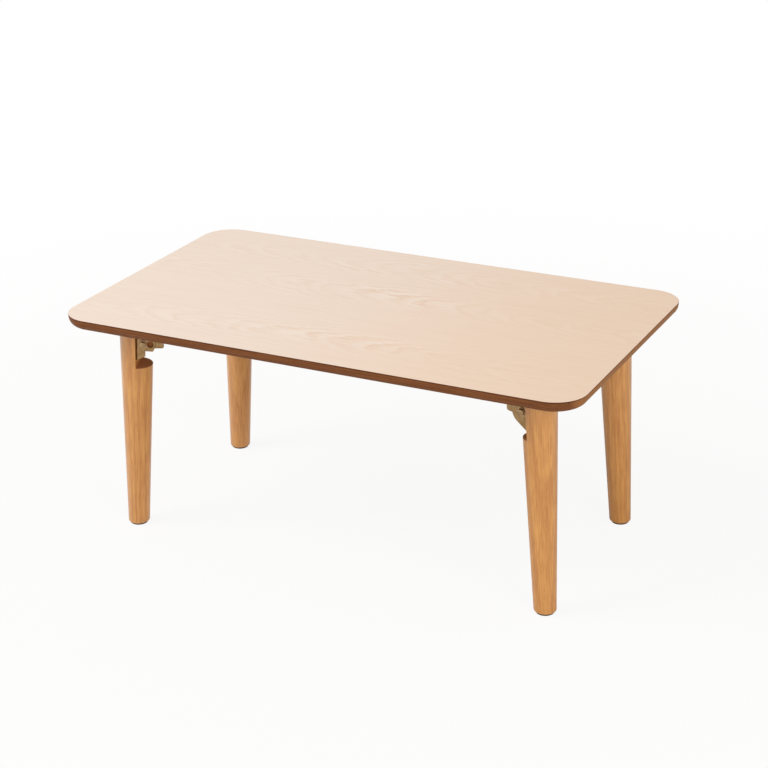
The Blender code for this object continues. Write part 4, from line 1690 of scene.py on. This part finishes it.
@dataclass
class FoldingCorner:
    """One leg with its hinge: brackets, pin, bush, washers, screws and foot pad.

    Places along the pin are y in the hinge frame.
    """

    joint: dict
    number: int
    finishes: Finishes
    splay: float = math.radians(3.5)
    end_turn: float = math.radians(30)
    leg_arris: float = 0.4 * MM
    pin_radius: float = 2.6 * MM
    pin_head_radius: float = 4.4 * MM
    pin_head_height: float = 2.2 * MM
    pin_head_y: float = 19.8 * MM
    pin_head_steps: int = 12
    bore_radius: float = 2.9 * MM
    bush_radius: float = 4.6 * MM
    bush_half_length: float = 14.1 * MM
    washer_radius: float = 5.6 * MM
    washer_y: float = 19.1 * MM
    washer_half_thickness: float = 0.4 * MM
    ring_ease: float = 0.15 * MM
    pin_columns: int = 48
    pad_radius: float = 11.5 * MM
    pad_thickness: float = 2 * MM
    pad_round: float = 0.6 * MM
    pad_ease: float = 0.15 * MM
    pad_gap: float = 0.3 * MM
    pad_columns: int = 64
    board_screw_length: float = 10.9 * MM
    board_screw_bearing: float = 27.1 * MM
    board_screw_turn: float = math.radians(31)
    leg_screw_length: float = 17.4 * MM
    leg_screw_bearing: float = -6.8 * MM
    leg_screw_turn: float = math.radians(23)

    @property
    def corner(self) -> str:
        """The corner's name, which ends the names of its nodes."""
        return self.joint["child"].removeprefix("leg_")

    @property
    def hinge(self) -> np.ndarray:
        """The hinge frame: X inboard along the fold, Y across it and Z up, from the joint's own axis.

        Returns:
            A 4 by 4 matrix.
        """
        axis = self.joint["axis"]
        place = np.eye(4)
        place[:3, 0] = (-axis[1], axis[0], 0)
        place[:3, 1] = (-axis[0], -axis[1], 0)
        place[:3, 3] = self.joint["pos_m"]
        return place

    @property
    def leg_frame(self) -> np.ndarray:
        """The hinge frame leaned over by the leg's splay."""
        return self.hinge @ moved(ORIGIN, (self.splay, "Y"))

    @property
    def leg(self) -> Leg:
        """The corner's leg, between its node's two ends.

        Returns:
            The leg.
        """
        low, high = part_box(f"leg_{self.corner}")
        pivot = self.joint["pos_m"][2]
        return Leg(high.z - pivot, low.z - pivot, self.splay, self.number)

    def add(
        self, name: str, node: str, skin: Skin, place: np.ndarray, slot: Slot, *extras: Extra
    ) -> bpy.types.Object:
        """Make one piece of this corner.

        Args:
            name: Start of the piece's name.
            node: Start of the name of the node that it stands for.
            skin: Its surface.
            place: Where the surface goes.
            slot: Its slot in the record.
            *extras: Its further finishes.

        Returns:
            The piece.
        """
        full_name, full_node = f"{name}_{self.corner}", f"{node}_{self.corner}"
        return make_piece(full_name, skin.carried(place), full_node, self.finishes, slot, *extras)

    def ring(self, radius: float, half_length: float) -> Skin:
        """A ring about Z with eased edges and the pin's bore.

        Args:
            radius: Its outer radius.
            half_length: Half its length.

        Returns:
            The closed surface.
        """
        ease, bore = self.ring_ease, self.bore_radius
        upper = [
            (radius, half_length - ease),
            (radius - ease, half_length),
            (bore + ease, half_length),
            (bore, half_length - ease),
        ]
        lower = np.array(upper[::-1]) * (1, -1)
        return turned_ring(np.roll(np.vstack([upper, lower]), 2, axis=0), self.pin_columns)

    def pin(self) -> Skin:
        """A pin about Z with a domed head at each end: r = R sin a, h = seat + H cos a.

        Returns:
            The closed surface.
        """
        angle = np.linspace(QUARTER, 0, self.pin_head_steps + 1)
        radius = self.pin_head_radius * np.sin(angle)
        height = self.pin_head_y + self.pin_head_height * np.cos(angle)
        upper = np.vstack([[(self.pin_radius, self.pin_head_y)], np.stack([radius, height], axis=-1)])
        return turned(np.vstack([upper[::-1] * (1, -1), upper]), self.pin_columns)

    def pad(self) -> Skin:
        """A felt disc about Z with a soft lower edge, its upper face at height 0.

        Returns:
            The closed surface.
        """
        centre = (self.pad_radius - self.pad_round, self.pad_round - self.pad_thickness)
        lower = arc(centre, self.pad_round, -QUARTER, 0, steps=6)
        upper = [(self.pad_radius, -self.pad_ease), (self.pad_radius - self.pad_ease, 0), (0, 0)]
        return turned(np.vstack([[(0, -self.pad_thickness)], lower, upper]), self.pad_columns)

    def build_leg(self) -> None:
        """Make the turned leg, with end grain on its ends and its ledge."""
        leg = self.add("turned_leg", "leg", self.leg.skin(), self.hinge, Slot.LEG, Extra.END_GRAIN)
        give_second_finish(leg, lambda normal: np.abs(normal[:, 2]) > math.cos(self.end_turn))
        ease_arrises(leg, self.leg_arris)

    def build_hinge(self) -> None:
        """Make the two brackets, the pin, its bush and its washers."""
        self.add("pressed_leg_bracket", "leg_bracket", LegBracket().skin(), self.leg_frame, Slot.BRACKET)
        plate = TableBracket().skin(self.splay)
        self.add("pressed_table_bracket", "table_bracket", plate, self.hinge, Slot.BRACKET)
        along_pin = self.hinge @ moved(ORIGIN, (QUARTER, "X"))
        self.add("rivet", "pivot_pin", self.pin(), along_pin, Slot.RIVET)
        bush = self.ring(self.bush_radius, self.bush_half_length)
        self.add("bush", "spacer_bush", bush, along_pin, Slot.RIVET)
        washer = self.ring(self.washer_radius, self.washer_half_thickness)
        for letter, side in (("a", Side.CATCH), ("b", Side.PLAIN)):
            place = self.hinge @ moved((0, side.value * self.washer_y, 0), (QUARTER, "X"))
            self.add(f"washer_{letter}", f"friction_washer_{letter}", washer, place, Slot.RIVET)

    def build_pad(self) -> None:
        """Make the felt pad under the foot."""
        height = self.leg.foot - self.pad_gap
        place = self.hinge @ moved((self.leg.axis_x(height), 0, height))
        self.add("felt_pad", "foot_pad", self.pad(), place, Slot.FELT)

    def build_screws(self) -> None:
        """Make the board screws and the leg screws, each turned a little further than the last."""
        screw = Screw(self.board_screw_length).skin()
        for count, spot in enumerate(TableBracket().screw_places, 1):
            turn = (self.board_screw_turn * count, "Z")
            place = self.hinge @ moved((*spot, self.board_screw_bearing), turn)
            self.add(f"board_screw_head_{count}", f"board_screw_{count}", screw, place, Slot.SCREW)
        screw = Screw(self.leg_screw_length).skin()
        for count, height in enumerate(LegBracket().screw_heights, 1):
            turns = ((-QUARTER, "Y"), (self.leg_screw_turn * count, "Z"))
            place = self.leg_frame @ moved((self.leg_screw_bearing, 0, height), *turns)
            self.add(f"leg_screw_head_{count}", f"leg_screw_{count}", screw, place, Slot.SCREW)

    def build(self) -> None:
        """Make every piece of the corner."""
        self.build_leg()
        self.build_hinge()
        self.build_pad()
        self.build_screws()


@dataclass
class Viewpoint:
    """The camera, by where it stands and how it is turned."""

    location: tuple = (1.01537, -1.9766, 1.13123)
    azimuth: float = math.radians(26.07066)
    elevation: float = math.radians(25.12856)
    roll: float = math.radians(-0.74443)
    lens: float = 86.9148
    sensor_width: float = 36.0
    shift: tuple = (-0.03451, 0.09961)

    def build(self) -> None:
        """Make the scene's camera."""
        data = bpy.data.cameras.new("viewpoint")
        data.lens = self.lens
        data.sensor_width = self.sensor_width
        data.shift_x, data.shift_y = self.shift
        camera = bpy.data.objects.new("viewpoint", data)
        bpy.context.scene.collection.objects.link(camera)
        sine, cosine, level = math.sin(self.azimuth), math.cos(self.azimuth), math.cos(self.elevation)
        right = Vector((cosine, sine, 0))
        back = Vector((sine * level, -cosine * level, math.sin(self.elevation)))
        up = back.cross(right)
        sine, cosine = math.sin(self.roll), math.cos(self.roll)
        columns = (cosine * right + sine * up, cosine * up - sine * right, back, self.location)
        camera.matrix_world = Matrix([*zip(*columns), (0, 0, 0, 1)])
        bpy.context.scene.camera = camera


@dataclass
class SoftLamp:
    """A large square lamp that points at the table and leaves no glare on it."""

    name: str
    location: tuple
    size: float
    watts: float
    target: tuple = (0, 0, 0.2)

    def build(self) -> None:
        """Make the lamp."""
        data = bpy.data.lights.new(self.name, "AREA")
        data.size = self.size
        data.energy = self.watts
        lamp = bpy.data.objects.new(self.name, data)
        lamp.location = self.location
        lamp.rotation_mode = "QUATERNION"
        lamp.rotation_quaternion = (Vector(self.target) - Vector(self.location)).to_track_quat("-Z", "Y")
        lamp.visible_glossy = False
        bpy.context.scene.collection.objects.link(lamp)


@dataclass
class Studio:
    """Pale floor, white surround and soft lamps.

    Attributes:
        floor_reach: Half width of the floor.
        floor_tint: The floor's colour, where the table's shadow shows.
        floor_roughness: The floor's roughness.
        floor_glow: Share of plain white that the camera sees in the floor, near the table and far away.
        glow_reach: How far from the middle that share starts and ends to change.
        open_left: Where a gloss starts to see the floor's own colour and sees nothing else, as x.
        open_reach: How far from the middle a gloss starts to see plain white and sees nothing else.
        surround: Strength of the surround as a light.
        lamps: The lamps.
    """

    floor_reach: float = 30.0
    floor_tint: Tint = Tint(232, 229, 225)
    floor_roughness: float = 0.9
    floor_glow: tuple = (0.9, 1.0)
    glow_reach: tuple = (0.5, 1.6)
    open_left: tuple = (-0.42, -0.12)
    open_reach: tuple = (0.7, 1.4)
    surround: float = 0.57
    lamps: tuple = (
        SoftLamp("left_softbox", (-2.1, -1.7, 2.6), 1.8, 66.0),
        SoftLamp("right_softbox", (2.4, -1.6, 1.1), 1.4, 29.0),
    )

    def rays(self, sheet: NodeSheet) -> tuple[Socket, Socket]:
        """Tell rays apart.

        Args:
            sheet: Where the nodes go.

        Returns:
            Whether a ray comes from the camera, and whether it comes from a gloss or a clear piece.
        """
        path = sheet.add("ShaderNodeLightPath").outputs
        shiny = sheet.math("ADD", path["Is Glossy Ray"], path["Is Transmission Ray"], clamp=True)
        return path["Is Camera Ray"], shiny

    def build_surround(self) -> None:
        """A white surround that lights the table at a plain level."""
        world = bpy.data.worlds.new("white_surround")
        bpy.context.scene.world = world
        world.use_nodes = True
        sheet = NodeSheet(world.node_tree)
        glow = world.node_tree.nodes["Background"]
        glow.inputs["Color"].default_value = WHITE
        seen = sheet.math("ADD", *self.rays(sheet), clamp=True)
        extra = sheet.product(seen, 1 - self.surround)
        sheet.feed(glow.inputs["Strength"], sheet.math("ADD", extra, self.surround))

    def floor_material(self) -> bpy.types.Material:
        """The floor's material, which keeps the table's shadow and is clear from below.

        Returns:
            The material.
        """
        material = bpy.data.materials.new("pale_floor")
        material.use_nodes = True
        nodes = material.node_tree.nodes
        sheet = NodeSheet(material.node_tree)
        shader = nodes["Principled BSDF"]
        sheet.feed(shader.inputs["Base Color"], self.floor_tint)
        sheet.feed(shader.inputs["Roughness"], self.floor_roughness)
        sheet.feed(shader.inputs["Specular IOR Level"], 0.0)
        place = sheet.object_place()
        x, _, _ = sheet.parts(place)
        away = sheet.add("ShaderNodeVectorMath", {"Vector": place}, operation="LENGTH").outputs["Value"]
        camera, shiny = self.rays(sheet)
        watched = sheet.product(camera, sheet.spread(away, *self.glow_reach, *self.floor_glow))
        beside = sheet.spread(x, *self.open_left, 1.0, 0.0)
        mirrored = sheet.product(shiny, sheet.math("MAXIMUM", beside, sheet.spread(away, *self.open_reach)))
        white = sheet.add("ShaderNodeEmission", {"Color": WHITE}).outputs[0]
        share = sheet.math("ADD", watched, mirrored, clamp=True)
        pale = sheet.fed(sheet.add("ShaderNodeMixShader"), share, shader.outputs[0], white)
        below = sheet.add("ShaderNodeNewGeometry").outputs["Backfacing"]
        clear = sheet.add("ShaderNodeBsdfTransparent").outputs[0]
        surface = sheet.fed(sheet.add("ShaderNodeMixShader"), below, pale, clear)
        sheet.feed(nodes["Material Output"].inputs["Surface"], surface)
        return material

    def build_floor(self) -> None:
        """A pale square floor."""
        corners = np.array([(-1, -1, 0), (1, -1, 0), (1, 1, 0), (-1, 1, 0)]) * self.floor_reach
        mesh = bpy.data.meshes.new("floor")
        mesh.from_pydata(corners.tolist(), [], [[0, 1, 2, 3]])
        mesh.materials.append(self.floor_material())
        floor = bpy.data.objects.new("floor", mesh)
        bpy.context.scene.collection.objects.link(floor)

    def build(self) -> None:
        """Make the surround, the floor and the lamps."""
        bpy.context.scene.view_settings.view_transform = "Standard"
        self.build_surround()
        self.build_floor()
        for lamp in self.lamps:
            lamp.build()


def build_finishes() -> Finishes:
    """Build every material.

    Returns:
        The material of each slot of the record, and the second materials.
    """
    finishes = {
        Slot.FACE: FaceLaminate("pale_laminate"),
        Slot.EDGE: EdgeLacquer("brown_edge_lacquer"),
        Slot.BACKING: BackingPaper("backing_paper"),
        Slot.LEG: LegWood("lacquered_leg_wood"),
        Slot.BRACKET: PlatedSteel(
            "passivated_zinc",
            plate=Tint(169, 139, 98),
            stain=Tint(150, 119, 80),
            bright=Tint(203, 178, 144),
        ),
        Slot.RIVET: PlatedSteel(
            "rivet_steel",
            plate=Tint(182, 152, 116),
            stain=Tint(160, 130, 96),
            bright=Tint(216, 194, 166),
            roughness=(0.18, 0.28),
        ),
        Slot.SCREW: PlatedSteel(
            "screw_steel",
            plate=Tint(196, 178, 146),
            stain=Tint(176, 156, 122),
            bright=Tint(222, 208, 182),
            roughness=(0.22, 0.34),
        ),
        Slot.FELT: PressedFelt("needled_felt"),
        Extra.LAMINATE_EDGE: EdgeLacquer(
            Extra.LAMINATE_EDGE.value,
            brown=Tint(104, 60, 33),
            dark=Tint(84, 46, 24),
            speckle_and_lit_end=Tint(120, 74, 44),
        ),
        Extra.END_GRAIN: LegWood(
            Extra.END_GRAIN.value,
            honey=Tint(202, 146, 103),
            late=Tint(180, 124, 84),
            pore=Tint(148, 96, 62),
            gloss=0.0,
            coat=0.0,
        ),
    }
    return {key: finish.material() for key, finish in finishes.items()}


def main() -> None:
    """Build the table, the camera and the studio."""
    logging.basicConfig(level=logging.INFO, format="%(message)s")
    finishes = build_finishes()
    Viewpoint().build()
    Tabletop(finishes).build()
    for number, joint in enumerate(frame["joints"]):
        FoldingCorner(joint, number, finishes).build()
    Studio().build()


if __name__ == "__main__":
    main()
